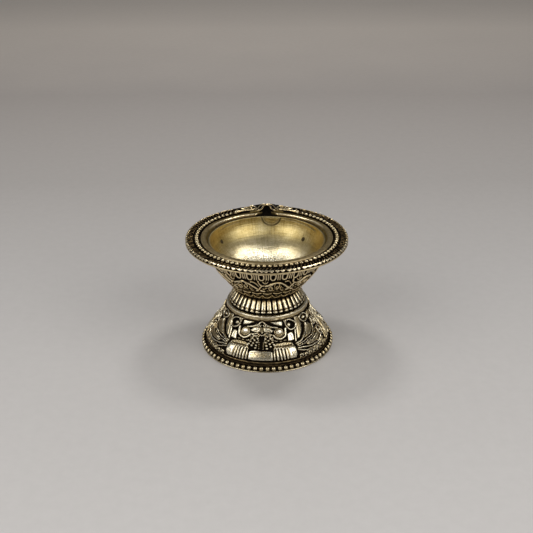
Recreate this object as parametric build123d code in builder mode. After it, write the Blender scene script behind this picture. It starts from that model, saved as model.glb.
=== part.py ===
from build123d import *
import os
from math import cos, sin, radians, pi, sqrt

# Footed brass oil lamp (diya): a round cup with a flared, beaded rim and a small
# wick spout, screwed onto a flared, hollow pedestal.
#
# Frame: millimetres, +Z up. The origin is the centre of the foot plane, on the
# lamp's axis. The wick spout points along +Y. A "turn" is an angle in degrees from
# the spout, clockwise seen from above. Profiles are (radius, z) unless noted.

# ---------------------------------------------------------------- shared sizes
FIT_GAP = 0.03          # radial gap in the plain bores and behind the wick rest

CUP_LIP_R = 23.15       # liner outer radius at its lip
CUP_LIP_Z = 45.2
CUP_OUT_DEPTH = 15.4    # liner outer depth below its lip
CUP_WALL = 0.7
CUP_IN_R = CUP_LIP_R - CUP_WALL
CUP_IN_DEPTH = CUP_OUT_DEPTH - CUP_WALL
# The cup's profiles are quarter ellipses, from the axis up to the lip.
CUP_QUARTER = dict(center=(0, CUP_LIP_Z), start_angle=270, arc_size=90)

RECESS_R = 11.5         # washer recess in the bowl's foot
RECESS_Z = 25.8

COLLAR_TOP_Z = 25.0
LAND_Z = 19.2           # land on top of the pedestal that the collar stands on
SPIGOT_R = 9.0

WIRE_R = 0.45           # core of the beaded wires

PITCH = 1.25            # stud thread pitch
THREAD_Z = 17.5         # both helices start a whole number of pitches from here
THREAD_HALF = 0.475     # half-width of the stud's thread at its core
FLANK = 0.35 / 0.6      # half-width lost per unit of radius on the thread flank
STUD_CORE_R = 3.35
STUD_CREST_R = 3.95
SHANK_R = 4.0

PIN_R = 0.55
PINS = ((-61.0, 39.58), (47.0, 38.78))  # (turn, z) of each cup pin


def at_turn(radius, turn, z):
    """A point at a radius, turn and height."""
    angle = radians(90.0 - turn)
    return (radius * cos(angle), radius * sin(angle), z)


def radial_location(radius, turn, z):
    """A location whose own z axis points straight out from the lamp's axis."""
    x, y, z = at_turn(radius, turn, z)
    return Plane(origin=(x, y, z), z_dir=(x, y, 0)).location


def mirrored(points):
    """The same (x, y) points on the -X side, in reverse order."""
    return [(-x, y) for x, y in reversed(points)]


# ------------------------------------------------------------------------- base
SPIGOT_TOP_Z = 23.4
SPIGOT_CHAMFER = 0.3
CROWN_UNDER_Z = 16.2
FOOT_SEAT_R = 25.23     # wall of the rebate that the foot's beaded wire is soldered in
HOLE_CORE_R = 3.45
HOLE_ROOT_R = 4.05
HOLE_CHAMFER = 0.6
THREAD_CUTTER_R = 3.3   # inner end of the thread cutter, inside the hole
THREAD_CLEARANCE = 0.1  # added to the cutter's half-width

FOOT_EDGE = [
    (24.5, 0.0), (26.9, 0.0), (26.9, 0.4), (26.7, 0.49), (FOOT_SEAT_R, 0.49),
    (FOOT_SEAT_R, 2.4), (25.7, 2.75),
]
BELL_OUTSIDE = [
    (25.7, 2.75), (25.35, 3.3), (24.85, 4.2), (24.3, 5.6), (22.4, 8.2),
    (19.8, 11.6), (18.0, 14.6), (16.7, 17.4),
]
BELL_TOP = [
    (16.7, 17.4), (16.35, 18.3), (16.3, 18.8), (15.9, LAND_Z),
    (SPIGOT_R, LAND_Z), (SPIGOT_R, SPIGOT_TOP_Z - SPIGOT_CHAMFER),
    (SPIGOT_R - SPIGOT_CHAMFER, SPIGOT_TOP_Z), (HOLE_CORE_R + HOLE_CHAMFER, SPIGOT_TOP_Z),
    (HOLE_CORE_R, SPIGOT_TOP_Z - HOLE_CHAMFER), (HOLE_CORE_R, CROWN_UNDER_Z),
    (14.2, CROWN_UNDER_Z),
]
BELL_INSIDE = [
    (14.2, CROWN_UNDER_Z), (15.6, 14.2), (17.4, 11.4), (20.0, 7.9),
    (22.3, 4.4), (23.6, 2.2), (24.5, 0.0),
]


def make_base():
    """Hollow bell casting: rebated foot, plain ridge and a spigot tapped for the stud."""
    with BuildPart() as base:
        with BuildSketch(Plane.XZ):
            with BuildLine():
                Polyline(*FOOT_EDGE)
                Spline(*BELL_OUTSIDE)
                Polyline(*BELL_TOP)
                Spline(*BELL_INSIDE)
            make_face()
        revolve(axis=Axis.Z)
        # tapped thread in the spigot
        with BuildLine():
            helix = Helix(pitch=PITCH, height=8 * PITCH, radius=HOLE_CORE_R,
                          center=(0, 0, THREAD_Z - 2 * PITCH))
        with BuildSketch(Plane(origin=helix @ 0, x_dir=(1, 0, 0), z_dir=helix % 0)):
            with BuildLine():
                inner = THREAD_HALF - FLANK * (THREAD_CUTTER_R - STUD_CORE_R) + THREAD_CLEARANCE
                outer = THREAD_HALF - FLANK * (HOLE_ROOT_R - STUD_CORE_R) + THREAD_CLEARANCE
                near = THREAD_CUTTER_R - HOLE_CORE_R
                far = HOLE_ROOT_R - HOLE_CORE_R
                Polyline((near, -inner), (far, -outer), (far, outer), (near, inner), close=True)
            make_face()
        sweep(path=helix, is_frenet=True, mode=Mode.SUBTRACT)
    return base.part


# ------------------------------------------------------------------- foot beads
FOOT_BEADS = 68
FOOT_BEAD_RING_R = 26.15
FOOT_BEAD_R = 0.9
FOOT_BEAD_Z = 1.4


def make_foot_beads():
    """Beaded wire soldered in the rebate round the foot."""
    with BuildPart() as foot_beads:
        with BuildSketch(Plane.XZ):
            with Locations((FOOT_BEAD_RING_R, FOOT_BEAD_Z)):
                Circle(WIRE_R)
        revolve(axis=Axis.Z)
        with PolarLocations(FOOT_BEAD_RING_R, FOOT_BEADS):
            with Locations((0, 0, FOOT_BEAD_Z)):
                Sphere(FOOT_BEAD_R)
    return foot_beads.part


# ------------------------------------------------------------------ neck collar
COLLAR_TOP_R = 12.0
COLLAR_LOW_R = 15.3
COLLAR_BORE_R = SPIGOT_R + FIT_GAP
COLLAR_UNDER_Z = LAND_Z + 0.01

FLUTES = 40
FLUTE_TURN = 3.5        # degrees that the flutes are turned from +X
GROOVE_R = 0.6
GROOVE_LOW_Z = 20.3
GROOVE_TOP_Z = 24.9
GROOVE_OUTSET = 0.28    # groove centre beyond the collar's mean radius
GROOVE_SHORT = 0.3      # groove length less than the slope

COLLAR_LOWER = [
    (COLLAR_BORE_R, COLLAR_UNDER_Z), (14.4, COLLAR_UNDER_Z), (14.4, 19.7),
    (COLLAR_LOW_R - 0.3, 19.75), (COLLAR_LOW_R, 20.05), (COLLAR_LOW_R - 0.1, 20.7),
]
COLLAR_SIDE = [
    (COLLAR_LOW_R - 0.1, 20.7), (14.2, 22.3), (13.1, 23.9), (COLLAR_TOP_R + 0.15, 24.8),
]
COLLAR_UPPER = [
    (COLLAR_TOP_R + 0.15, 24.8), (COLLAR_TOP_R - 0.1, COLLAR_TOP_Z),
    (COLLAR_BORE_R, COLLAR_TOP_Z), (COLLAR_BORE_R, COLLAR_UNDER_Z),
]


def make_neck_collar():
    """Fluted ring that slips over the spigot and stands on the pedestal's land."""
    with BuildPart() as neck_collar:
        with BuildSketch(Plane.XZ):
            with BuildLine():
                Polyline(*COLLAR_LOWER)
                Spline(*COLLAR_SIDE)
                Polyline(*COLLAR_UPPER)
            make_face()
        revolve(axis=Axis.Z)
        # grooves between the flutes follow the ring's slope
        rise = GROOVE_TOP_Z - GROOVE_LOW_Z
        run = COLLAR_LOW_R - COLLAR_TOP_R
        slope = sqrt(rise * rise + run * run)
        middle_r = (COLLAR_LOW_R + COLLAR_TOP_R) / 2 + GROOVE_OUTSET
        middle_z = (GROOVE_LOW_Z + GROOVE_TOP_Z) / 2
        groove_places = []
        for i in range(FLUTES):
            angle = 2 * pi * (i + 0.5) / FLUTES + radians(FLUTE_TURN)
            groove_places.append(
                Plane(
                    origin=(middle_r * cos(angle), middle_r * sin(angle), middle_z),
                    x_dir=(-sin(angle), cos(angle), 0),
                    z_dir=(-run * cos(angle) / slope, -run * sin(angle) / slope, rise / slope),
                ).location
            )
        with Locations(*groove_places):
            Cylinder(radius=GROOVE_R, height=slope - GROOVE_SHORT, mode=Mode.SUBTRACT)
    return neck_collar.part


# ----------------------------------------------------------------- bowl washer
WASHER_UNDER_Z = COLLAR_TOP_Z + 0.02
WASHER_THICKNESS = 0.74
WASHER_R = RECESS_R - 0.3
WASHER_HOLE_R = STUD_CREST_R + 0.35
WASHER_CHAMFER = 0.12


def make_bowl_washer():
    """Thin flat ring between the pedestal's collar and the bowl's foot."""
    with BuildPart() as bowl_washer:
        with BuildSketch(Plane.XY.offset(WASHER_UNDER_Z)):
            Circle(WASHER_R)
            Circle(WASHER_HOLE_R, mode=Mode.SUBTRACT)
        extrude(amount=WASHER_THICKNESS)
        circles = bowl_washer.edges().filter_by(GeomType.CIRCLE)
        chamfer(circles.sort_by(SortBy.RADIUS)[-2:], WASHER_CHAMFER)
    return bowl_washer.part


# ------------------------------------------------------------------------- bowl
RIM_R = 32.0            # rim outer radius
RIM_TOP_Z = 46.5        # top of the rim's outer edge
RIM_UNDER_Z = 44.7      # lower corner of the rim's outer edge
RIM_SEAT_Z = 45.06      # floor of the channel that the rim's beaded wire is soldered in
RIM_SEAT_IN_R = 26.56
RIM_SEAT_OUT_R = 28.58

LIP_BAND_R = 24.85      # centre of the rounded lip band
LIP_BAND_HALF = 1.05
LIP_BAND_TOP_Z = 46.9
LIP_BAND_IN = (LIP_BAND_R - LIP_BAND_HALF, 45.85)
LIP_BAND_OUT = (LIP_BAND_R + LIP_BAND_HALF, 45.85)

SEAT_GAP = 0.05         # bedding gap between liner and bowl
SEAT_R = CUP_LIP_R + SEAT_GAP
SEAT_DEPTH = CUP_OUT_DEPTH + SEAT_GAP

BOWL_FOOT_Z = 25.4      # underside of the bowl's foot lip
BOWL_FOOT_R = 13.0
BORE_R = SHANK_R + FIT_GAP
BORE_TOP_Z = 28.5       # top of the bore in the revolved profile
BORE_CUT_Z = 27.6       # middle of the bore's cutter
BORE_CUT_LENGTH = 5.0

BOWL_FOOT = [
    (BORE_R, RECESS_Z), (RECESS_R, RECESS_Z), (RECESS_R, BOWL_FOOT_Z + 0.1),
    (RECESS_R + 0.1, BOWL_FOOT_Z), (BOWL_FOOT_R, BOWL_FOOT_Z),
]
BOWL_SIDE = [
    (BOWL_FOOT_R, BOWL_FOOT_Z), (14.3, 26.4), (17.0, 29.8), (20.0, 33.8),
    (22.4, 37.6), (24.0, 41.2), (25.0, 43.5),
]
BOWL_RIM = [
    (25.0, 43.5), (26.2, 44.15), (31.2, 44.6), (31.85, RIM_UNDER_Z),
    (RIM_R, RIM_UNDER_Z + 0.25), (RIM_R, RIM_TOP_Z - 0.35), (RIM_R - 0.35, RIM_TOP_Z),
    (28.7, 46.35), (RIM_SEAT_OUT_R, 46.0), (RIM_SEAT_OUT_R, RIM_SEAT_Z),
    (RIM_SEAT_IN_R, RIM_SEAT_Z), (RIM_SEAT_IN_R, 45.4), (26.15, 45.5), LIP_BAND_OUT,
]
BOWL_SEAM = [LIP_BAND_IN, (23.55, 45.4), (SEAT_R, CUP_LIP_Z)]
BOWL_FLOOR = [
    (0, CUP_LIP_Z - SEAT_DEPTH), (0, BORE_TOP_Z), (BORE_R, BORE_TOP_Z), (BORE_R, RECESS_Z),
]

SPOUT_REACH = 2.45      # how far the spout's swell stands out at its tip
SPOUT_HALF_ANGLE = 20.0 # degrees each side of +Y over which the rim swells
SPOUT_STEPS = 8         # edge points each side of +Y
SPOUT_POWER = 1.25      # sharpens the swell to a point
SPOUT_INSET = 0.02      # ends of the swell inside the rim's edge
SPOUT_BACK = [(9.0, 26.0), (5.0, 25.4)]  # (x, y), +X side
KEEL_HALF_WIDTH = 2.6
KEEL = [                # (y, z)
    (23.6, 40.3), (26.2, 42.5), (29.6, 43.6), (33.0, RIM_UNDER_Z), (33.0, 45.2), (23.6, 45.2),
]

CHANNEL_FLOOR_Z = 45.0  # the ridges and volutes also start here
CHANNEL_CUT = 3.0
CHANNEL_SIDE = [        # (x, y), +X side, from the cup outwards
    (4.2, 23.3), (3.1, 24.8), (1.95, 26.0), (1.45, 28.0), (0.85, 30.0), (0.35, 31.8),
]
CHANNEL_HALF = [(4.2, 22.9)] + CHANNEL_SIDE
RIDGE_WIDTH = 1.15
RIDGE_HEIGHT = 1.95
RIDGE_HALF = (
    [(5.2, 23.9)] + [(x + RIDGE_WIDTH, y) for x, y in CHANNEL_SIDE[1:]] + [(0.9, 33.4)]
)
VOLUTE_X, VOLUTE_Y = 7.6, 28.9
VOLUTE_RADII = (3.3, 2.8)  # along x and y
VOLUTE_WIDTH = 1.0
VOLUTE_HEIGHT = 1.85

BOWL_PIN_HOLE_R = 21.4  # distance of the hole's middle from the lamp's axis
BOWL_PIN_HOLE_LENGTH = 2.4


def spout_edge():
    """Points (x, y) of the spout's swollen edge, from the -X side to the +X side."""
    points = []
    for k in range(-SPOUT_STEPS, SPOUT_STEPS + 1):
        share = k / SPOUT_STEPS
        swell = SPOUT_REACH * (0.5 * (1 + cos(pi * share))) ** SPOUT_POWER
        points.append(at_turn(RIM_R - SPOUT_INSET + swell, share * SPOUT_HALF_ANGLE, 0)[:2])
    return points


def make_bowl():
    """Cast cup with a flared rim, a lip band, a beading channel and a wick spout."""
    with BuildPart() as bowl:
        with BuildSketch(Plane.XZ):
            with BuildLine():
                Polyline(*BOWL_FOOT)
                Spline(*BOWL_SIDE)
                Polyline(*BOWL_RIM)
                ThreePointArc(LIP_BAND_OUT, (LIP_BAND_R, LIP_BAND_TOP_Z), LIP_BAND_IN)
                Polyline(*BOWL_SEAM)
                EllipticalCenterArc(x_radius=SEAT_R, y_radius=SEAT_DEPTH, **CUP_QUARTER)
                Polyline(*BOWL_FLOOR)
            make_face()
        revolve(axis=Axis.Z)
        # the shank's bore goes right through the floor
        with Locations((0, 0, BORE_CUT_Z)):
            Cylinder(radius=BORE_R, height=BORE_CUT_LENGTH, mode=Mode.SUBTRACT)
        # spout: the rim swells to a point
        edge = spout_edge()
        with BuildSketch(Plane.XY.offset(RIM_UNDER_Z)):
            with BuildLine():
                Spline(*edge)
                Polyline(edge[-1], *SPOUT_BACK, *mirrored(SPOUT_BACK), edge[0])
            make_face()
        extrude(amount=RIM_TOP_Z - RIM_UNDER_Z - 0.05)
        # keel that stiffens the spout from below
        with BuildSketch(Plane.YZ):
            with BuildLine():
                Polyline(*KEEL, close=True)
            make_face()
        extrude(amount=KEEL_HALF_WIDTH, both=True)
        # raised ridges each side of the channel
        with BuildSketch(Plane.XY.offset(CHANNEL_FLOOR_Z)):
            with BuildLine():
                Polyline(*RIDGE_HALF, *mirrored(RIDGE_HALF), close=True)
            make_face()
        extrude(amount=RIDGE_HEIGHT)
        # volutes: an oval ring each side of the channel
        with BuildSketch(Plane.XY.offset(CHANNEL_FLOOR_Z)):
            with Locations((VOLUTE_X, VOLUTE_Y), (-VOLUTE_X, VOLUTE_Y)):
                Ellipse(*VOLUTE_RADII)
                Ellipse(*[radius - VOLUTE_WIDTH for radius in VOLUTE_RADII], mode=Mode.SUBTRACT)
        extrude(amount=VOLUTE_HEIGHT)
        # wick channel, open to the cup at its wide end
        with BuildSketch(Plane.XY.offset(CHANNEL_FLOOR_Z)):
            with BuildLine():
                Polyline(*CHANNEL_HALF, *mirrored(CHANNEL_HALF), close=True)
            make_face()
        extrude(amount=CHANNEL_CUT, mode=Mode.SUBTRACT)
        # two blind pin holes from the cup side
        for turn, z in PINS:
            with Locations(radial_location(BOWL_PIN_HOLE_R, turn, z)):
                Cylinder(radius=PIN_R + FIT_GAP, height=BOWL_PIN_HOLE_LENGTH, mode=Mode.SUBTRACT)
    return bowl.part


# ------------------------------------------------------------------- rim beads
RIM_BEADS = 84          # bead places round the rim; the spout takes the middle ones
RIM_BEAD_RING_R = 27.57
RIM_BEAD_R = 0.92
RIM_BEAD_Z = 46.0
RIM_BEAD_STOP_ANGLE = 27.4


def make_rim_beads():
    """Beaded wire in the rim's channel, from one side of the spout round to the other."""
    places = [(i + 0.5) * 360.0 / RIM_BEADS - 180.0 for i in range(RIM_BEADS)]
    turns = [turn for turn in places if abs(turn) > RIM_BEAD_STOP_ANGLE]
    gap = min(abs(turn) for turn in turns)
    start = radians(90.0 + gap)
    start_plane = Plane(
        origin=(0, 0, 0),
        x_dir=(cos(start), sin(start), 0),
        z_dir=(sin(start), -cos(start), 0),
    )
    with BuildPart() as rim_beads:
        with BuildSketch(start_plane):
            with Locations((RIM_BEAD_RING_R, RIM_BEAD_Z)):
                Circle(WIRE_R)
        revolve(axis=Axis.Z, revolution_arc=360.0 - 2 * gap)
        bead_places = []
        for turn in turns:
            x, y, z = at_turn(RIM_BEAD_RING_R, turn, RIM_BEAD_Z)
            # each bead's seam faces away from the lamp's axis
            bead_places.append(Plane(origin=(x, y, z), x_dir=(x, y, 0), z_dir=(0, 0, 1)).location)
        with Locations(*bead_places):
            Sphere(RIM_BEAD_R)
    return rim_beads.part


# ---------------------------------------------------------------------- oil cup
CUP_PIN_HOLE_R = 21.2   # distance of the hole's middle from the lamp's axis
CUP_PIN_HOLE_LENGTH = 3.0


def make_oil_cup():
    """Turned liner bedded in the bowl, its edge level with the seam."""
    with BuildPart() as oil_cup:
        with BuildSketch(Plane.XZ):
            with BuildLine():
                EllipticalCenterArc(x_radius=CUP_LIP_R, y_radius=CUP_OUT_DEPTH, **CUP_QUARTER)
                Line((CUP_LIP_R, CUP_LIP_Z), (CUP_IN_R, CUP_LIP_Z))
                EllipticalCenterArc(x_radius=CUP_IN_R, y_radius=CUP_IN_DEPTH, **CUP_QUARTER)
                Line((0, CUP_LIP_Z - CUP_IN_DEPTH), (0, CUP_LIP_Z - CUP_OUT_DEPTH))
            make_face()
        revolve(axis=Axis.Z)
        for turn, z in PINS:
            with Locations(radial_location(CUP_PIN_HOLE_R, turn, z)):
                Cylinder(radius=PIN_R + FIT_GAP, height=CUP_PIN_HOLE_LENGTH, mode=Mode.SUBTRACT)
    return oil_cup.part


# --------------------------------------------------------------------- cup pins
PIN_OUTER_END = 22.5    # distance from the lamp's axis
PIN_SETBACK = 0.02      # inner end behind the liner's inside wall


def make_cup_pins():
    """Two plug pins that hold the liner in the bowl."""
    with BuildPart() as cup_pins:
        for turn, z in PINS:
            wall_r = CUP_IN_R * sqrt(1.0 - ((CUP_LIP_Z - z) / CUP_IN_DEPTH) ** 2)
            inner_end = wall_r + PIN_SETBACK
            with Locations(radial_location((inner_end + PIN_OUTER_END) / 2, turn, z)):
                Cylinder(radius=PIN_R, height=PIN_OUTER_END - inner_end)
    return cup_pins.part


# -------------------------------------------------------------------- wick rest
REST_FACE = 0.6         # tab's inner face, in from the liner's inside wall
REST_X = 1.8            # tab's middle
REST_TOP_Z = 45.0
REST_RADII = (3.7, 3.15)  # along x and z
REST_START_Y = 15.0
REST_DEPTH = 12.0
TRIM_WIDTH, TRIM_HEIGHT = 10, 5


def make_wick_rest():
    """Small half-round tab brazed to the liner's wall just under the spout."""
    outer_r, outer_depth = CUP_IN_R - FIT_GAP, CUP_IN_DEPTH - FIT_GAP
    inner_r, inner_depth = CUP_IN_R - REST_FACE, CUP_IN_DEPTH - REST_FACE
    with BuildPart() as wick_rest:
        # a thin shell that follows the liner
        with BuildSketch(Plane.XZ):
            with BuildLine():
                EllipticalCenterArc(x_radius=outer_r, y_radius=outer_depth, **CUP_QUARTER)
                Line((outer_r, CUP_LIP_Z), (inner_r, CUP_LIP_Z))
                EllipticalCenterArc(x_radius=inner_r, y_radius=inner_depth, **CUP_QUARTER)
                Line((0, CUP_LIP_Z - inner_depth), (0, CUP_LIP_Z - outer_depth))
            make_face()
        revolve(axis=Axis.Z)
        # keep only the lower half of an oval on the spout side
        with BuildSketch(Plane.XZ.offset(-REST_START_Y)):
            with Locations((REST_X, REST_TOP_Z)):
                Ellipse(*REST_RADII)
            with Locations((REST_X, REST_TOP_Z + TRIM_HEIGHT / 2)):
                Rectangle(TRIM_WIDTH, TRIM_HEIGHT, mode=Mode.SUBTRACT)
        extrude(amount=-REST_DEPTH, mode=Mode.INTERSECT)
    return wick_rest.part


# -------------------------------------------------------------------- bowl stud
STUD_END_Z = 17.15
STUD_END_CHAMFER = 0.5
SHANK_UNDER_Z = RECESS_Z + 0.05
SHANK_TOP_Z = 29.5
SHANK_CHAMFER = 0.3
THREAD_SINK = 0.1       # thread's root buried in the core

STUD_PROFILE = [
    (0, STUD_END_Z), (STUD_CORE_R - STUD_END_CHAMFER, STUD_END_Z),
    (STUD_CORE_R, STUD_END_Z + STUD_END_CHAMFER),
    (STUD_CORE_R, SHANK_UNDER_Z), (SHANK_R, SHANK_UNDER_Z),
    (SHANK_R, SHANK_TOP_Z - SHANK_CHAMFER), (SHANK_R - SHANK_CHAMFER, SHANK_TOP_Z),
    (0, SHANK_TOP_Z),
]


def make_bowl_stud():
    """Stud fixed in the bowl's floor; its thread screws into the pedestal's spigot."""
    with BuildPart() as bowl_stud:
        with BuildSketch(Plane.XZ):
            with BuildLine():
                Polyline(*STUD_PROFILE, close=True)
            make_face()
        revolve(axis=Axis.Z)
        with BuildLine():
            helix = Helix(pitch=PITCH, height=5 * PITCH, radius=STUD_CORE_R,
                          center=(0, 0, THREAD_Z + PITCH))
        with BuildSketch(Plane(origin=helix @ 0, x_dir=(1, 0, 0), z_dir=helix % 0)):
            with BuildLine():
                height = STUD_CREST_R - STUD_CORE_R
                root = THREAD_HALF + FLANK * THREAD_SINK
                crest = THREAD_HALF - FLANK * height
                Polyline((-THREAD_SINK, -root), (height, -crest), (height, crest),
                         (-THREAD_SINK, root), close=True)
            make_face()
        sweep(path=helix, is_frenet=True)
    return bowl_stud.part


# ----------------------------------------------------------------------- export
os.makedirs("parts", exist_ok=True)
for name, make in {
    "base": make_base,
    "foot_beads": make_foot_beads,
    "neck_collar": make_neck_collar,
    "bowl_washer": make_bowl_washer,
    "bowl": make_bowl,
    "rim_beads": make_rim_beads,
    "oil_cup": make_oil_cup,
    "cup_pins": make_cup_pins,
    "wick_rest": make_wick_rest,
    "bowl_stud": make_bowl_stud,
}.items():
    piece = make()
    piece.label = name
    export_step(piece, f"parts/{name}.step")
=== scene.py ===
"""Footed brass oil lamp: a cast pedestal, a fluted collar, and a bowl with a cup liner.

The lamp stands on z = 0 with its axis on Z. The front is -Y; the spout points back, +Y.
Drawing helpers use millimetres; finished meshes are in metres. Angles run from the front
(-Y) through the right (+X), which is counter-clockwise seen from above.
"""
from math import acos, asin, cos, pi, radians, sin, sqrt

import bmesh
import bpy
import numpy as np
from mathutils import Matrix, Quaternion, Vector


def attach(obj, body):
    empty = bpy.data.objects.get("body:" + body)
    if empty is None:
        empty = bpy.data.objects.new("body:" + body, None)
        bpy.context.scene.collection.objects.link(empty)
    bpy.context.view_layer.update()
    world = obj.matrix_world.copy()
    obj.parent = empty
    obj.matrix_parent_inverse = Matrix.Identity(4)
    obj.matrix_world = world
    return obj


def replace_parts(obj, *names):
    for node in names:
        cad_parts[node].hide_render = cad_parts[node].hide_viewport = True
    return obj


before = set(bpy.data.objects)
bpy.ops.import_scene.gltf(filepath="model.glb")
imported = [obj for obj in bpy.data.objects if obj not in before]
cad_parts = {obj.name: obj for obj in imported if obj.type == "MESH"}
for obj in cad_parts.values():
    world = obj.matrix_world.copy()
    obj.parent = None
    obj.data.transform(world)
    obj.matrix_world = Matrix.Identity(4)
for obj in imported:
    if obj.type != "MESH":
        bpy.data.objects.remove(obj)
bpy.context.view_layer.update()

MM = 0.001


# ------------------------------------------------------------------ curves and blends
def smooth(start, end, x):
    """0 at start and 1 at end, eased; start may be the greater, for a falling step."""
    part = np.clip((x - start) / (end - start), 0, 1)
    return part * part * (3 - 2 * part)


def between(x, rise_from, rise_to, fall_from, fall_to):
    """1 on a stretch of x, eased to 0 at both ends."""
    return smooth(rise_from, rise_to, x) * smooth(fall_to, fall_from, x)


def mix(first, second, share):
    return first * (1 - share) + second * share


def bulge(x, power=2):
    """Round profile: 1 at x = 0, falling to 0 at x = 1."""
    return np.sqrt(np.maximum(0, 1 - x ** power))


def hump(x, centre, width):
    return np.exp(-((x - centre) / width) ** 2)


def signed(angle):
    """The angle wrapped to -pi..pi."""
    return (angle + pi) % (2 * pi) - pi


def around(count):
    """One row of evenly spaced angles round the axis."""
    return np.linspace(0, 2 * pi, count, endpoint=False)[None, :]


def catmull_rom(points, steps):
    """Curve from the second point up to, but without, the last but one."""
    out = []
    for before, start, end, after in zip(points, points[1:], points[2:], points[3:]):
        for t in np.linspace(0, 1, steps, endpoint=False):
            out.append(0.5 * (2 * start + (end - before) * t
                              + (2 * before - 5 * start + 4 * end - after) * t * t
                              + (-before + 3 * start - 3 * end + after) * t ** 3))
    return out


def spline(points, steps=5):
    """Smooth open curve through the points."""
    points = np.asarray(points, float)
    if len(points) < 3:
        return points
    ends = 2 * points[0] - points[1], 2 * points[-1] - points[-2]
    return np.array(catmull_rom(np.vstack([ends[0], points, ends[1]]), steps) + [points[-1]])


def closed_spline(points, steps=8):
    """Smooth loop through the points, ending where it starts."""
    points = np.asarray(points, float)
    out = catmull_rom(np.vstack([points[-1:], points, points[:2]]), steps)
    return np.array(out + out[:1])


def run_length(points):
    """Distance along the path at each of its points."""
    return np.r_[0, np.cumsum(np.hypot(*np.diff(points, axis=0).T))]


def resample(points, step):
    points = np.asarray(points, float)
    along = run_length(points)
    even = np.linspace(0, along[-1], max(1, int(round(along[-1] / step))) + 1)
    return np.stack([np.interp(even, along, axis) for axis in points.T], 1)


def path_distance(x, y, path):
    """Distance from each (x, y) to the nearest segment of the path."""
    squared = np.full(x.shape, 1e9)
    for start, end in zip(path[:-1], path[1:]):
        span = end - start
        length = span @ span
        if length < 1e-14:
            continue
        part = np.clip(((x - start[0]) * span[0] + (y - start[1]) * span[1]) / length, 0, 1)
        squared = np.minimum(squared, (x - start[0] - part * span[0]) ** 2
                             + (y - start[1] - part * span[1]) ** 2)
    return np.sqrt(squared)


def wave_noise(theta, y, seed, waves, size):
    """Seeded noise that closes on itself round the axis; waves are (round, per mm of y)."""
    random = np.random.default_rng(seed)
    out = np.zeros(np.broadcast(theta, y).shape)
    for count, rate in waves:
        phase = random.uniform(0, 6.28)
        out += np.sin(count * theta + rate * y + phase) * random.uniform(0.5, 1.0)
    return out * size / len(waves) ** 0.5


class Cut:
    """A cross-section of (radius, z), walked up the outside, in over the top and down inside.
    """

    def __init__(self):
        self.path, self.tags = [], []

    def line(self, tag, points, step):
        self.points(tag, resample(points, step))

    def curve(self, tag, points, step):
        self.line(tag, spline(points, 10), step)

    def points(self, tag, points):
        """Adds points as they are, without a repeat of the last one."""
        if self.path and np.hypot(*(self.path[-1] - points[0])) < 1e-6:
            points = points[1:]
        self.path.extend(points)
        self.tags.extend([tag] * len(points))

    def finish(self, closed=True):
        path = np.array(self.path)
        if closed:
            if np.hypot(*(path[-1] - path[0])) < 1e-6:
                path = path[:-1]
                self.tags.pop()
            along = np.roll(path, -1, 0) - np.roll(path, 1, 0)
        else:
            along = np.gradient(path, axis=0)
        self.radius, self.z = path[:, :1], path[:, 1:]
        normal = np.stack([along[:, 1], -along[:, 0]], 1)
        self.normal = normal / np.linalg.norm(normal, axis=1)[:, None]
        radius = path[:, 0]
        steps = np.hypot(*np.diff(path, axis=0).T)
        self.climb = np.r_[0, np.cumsum(steps / np.maximum(0.5, (radius[:-1] + radius[1:]) / 2))]
        self.tags = np.array(self.tags)

    def rows(self, *tags):
        return np.where(np.isin(self.tags, tags))[0]

    def part(self, tag):
        rows = self.rows(tag)
        return rows, self.radius[rows], self.z[rows]

    def surface(self, theta, height):
        """Grid of points in mm, raised along the cut's normal by height."""
        radius = self.radius + height * self.normal[:, :1]
        z = self.z + height * self.normal[:, 1:]
        return np.stack([radius * np.sin(theta), -radius * np.cos(theta), z + 0 * theta], -1)


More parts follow.
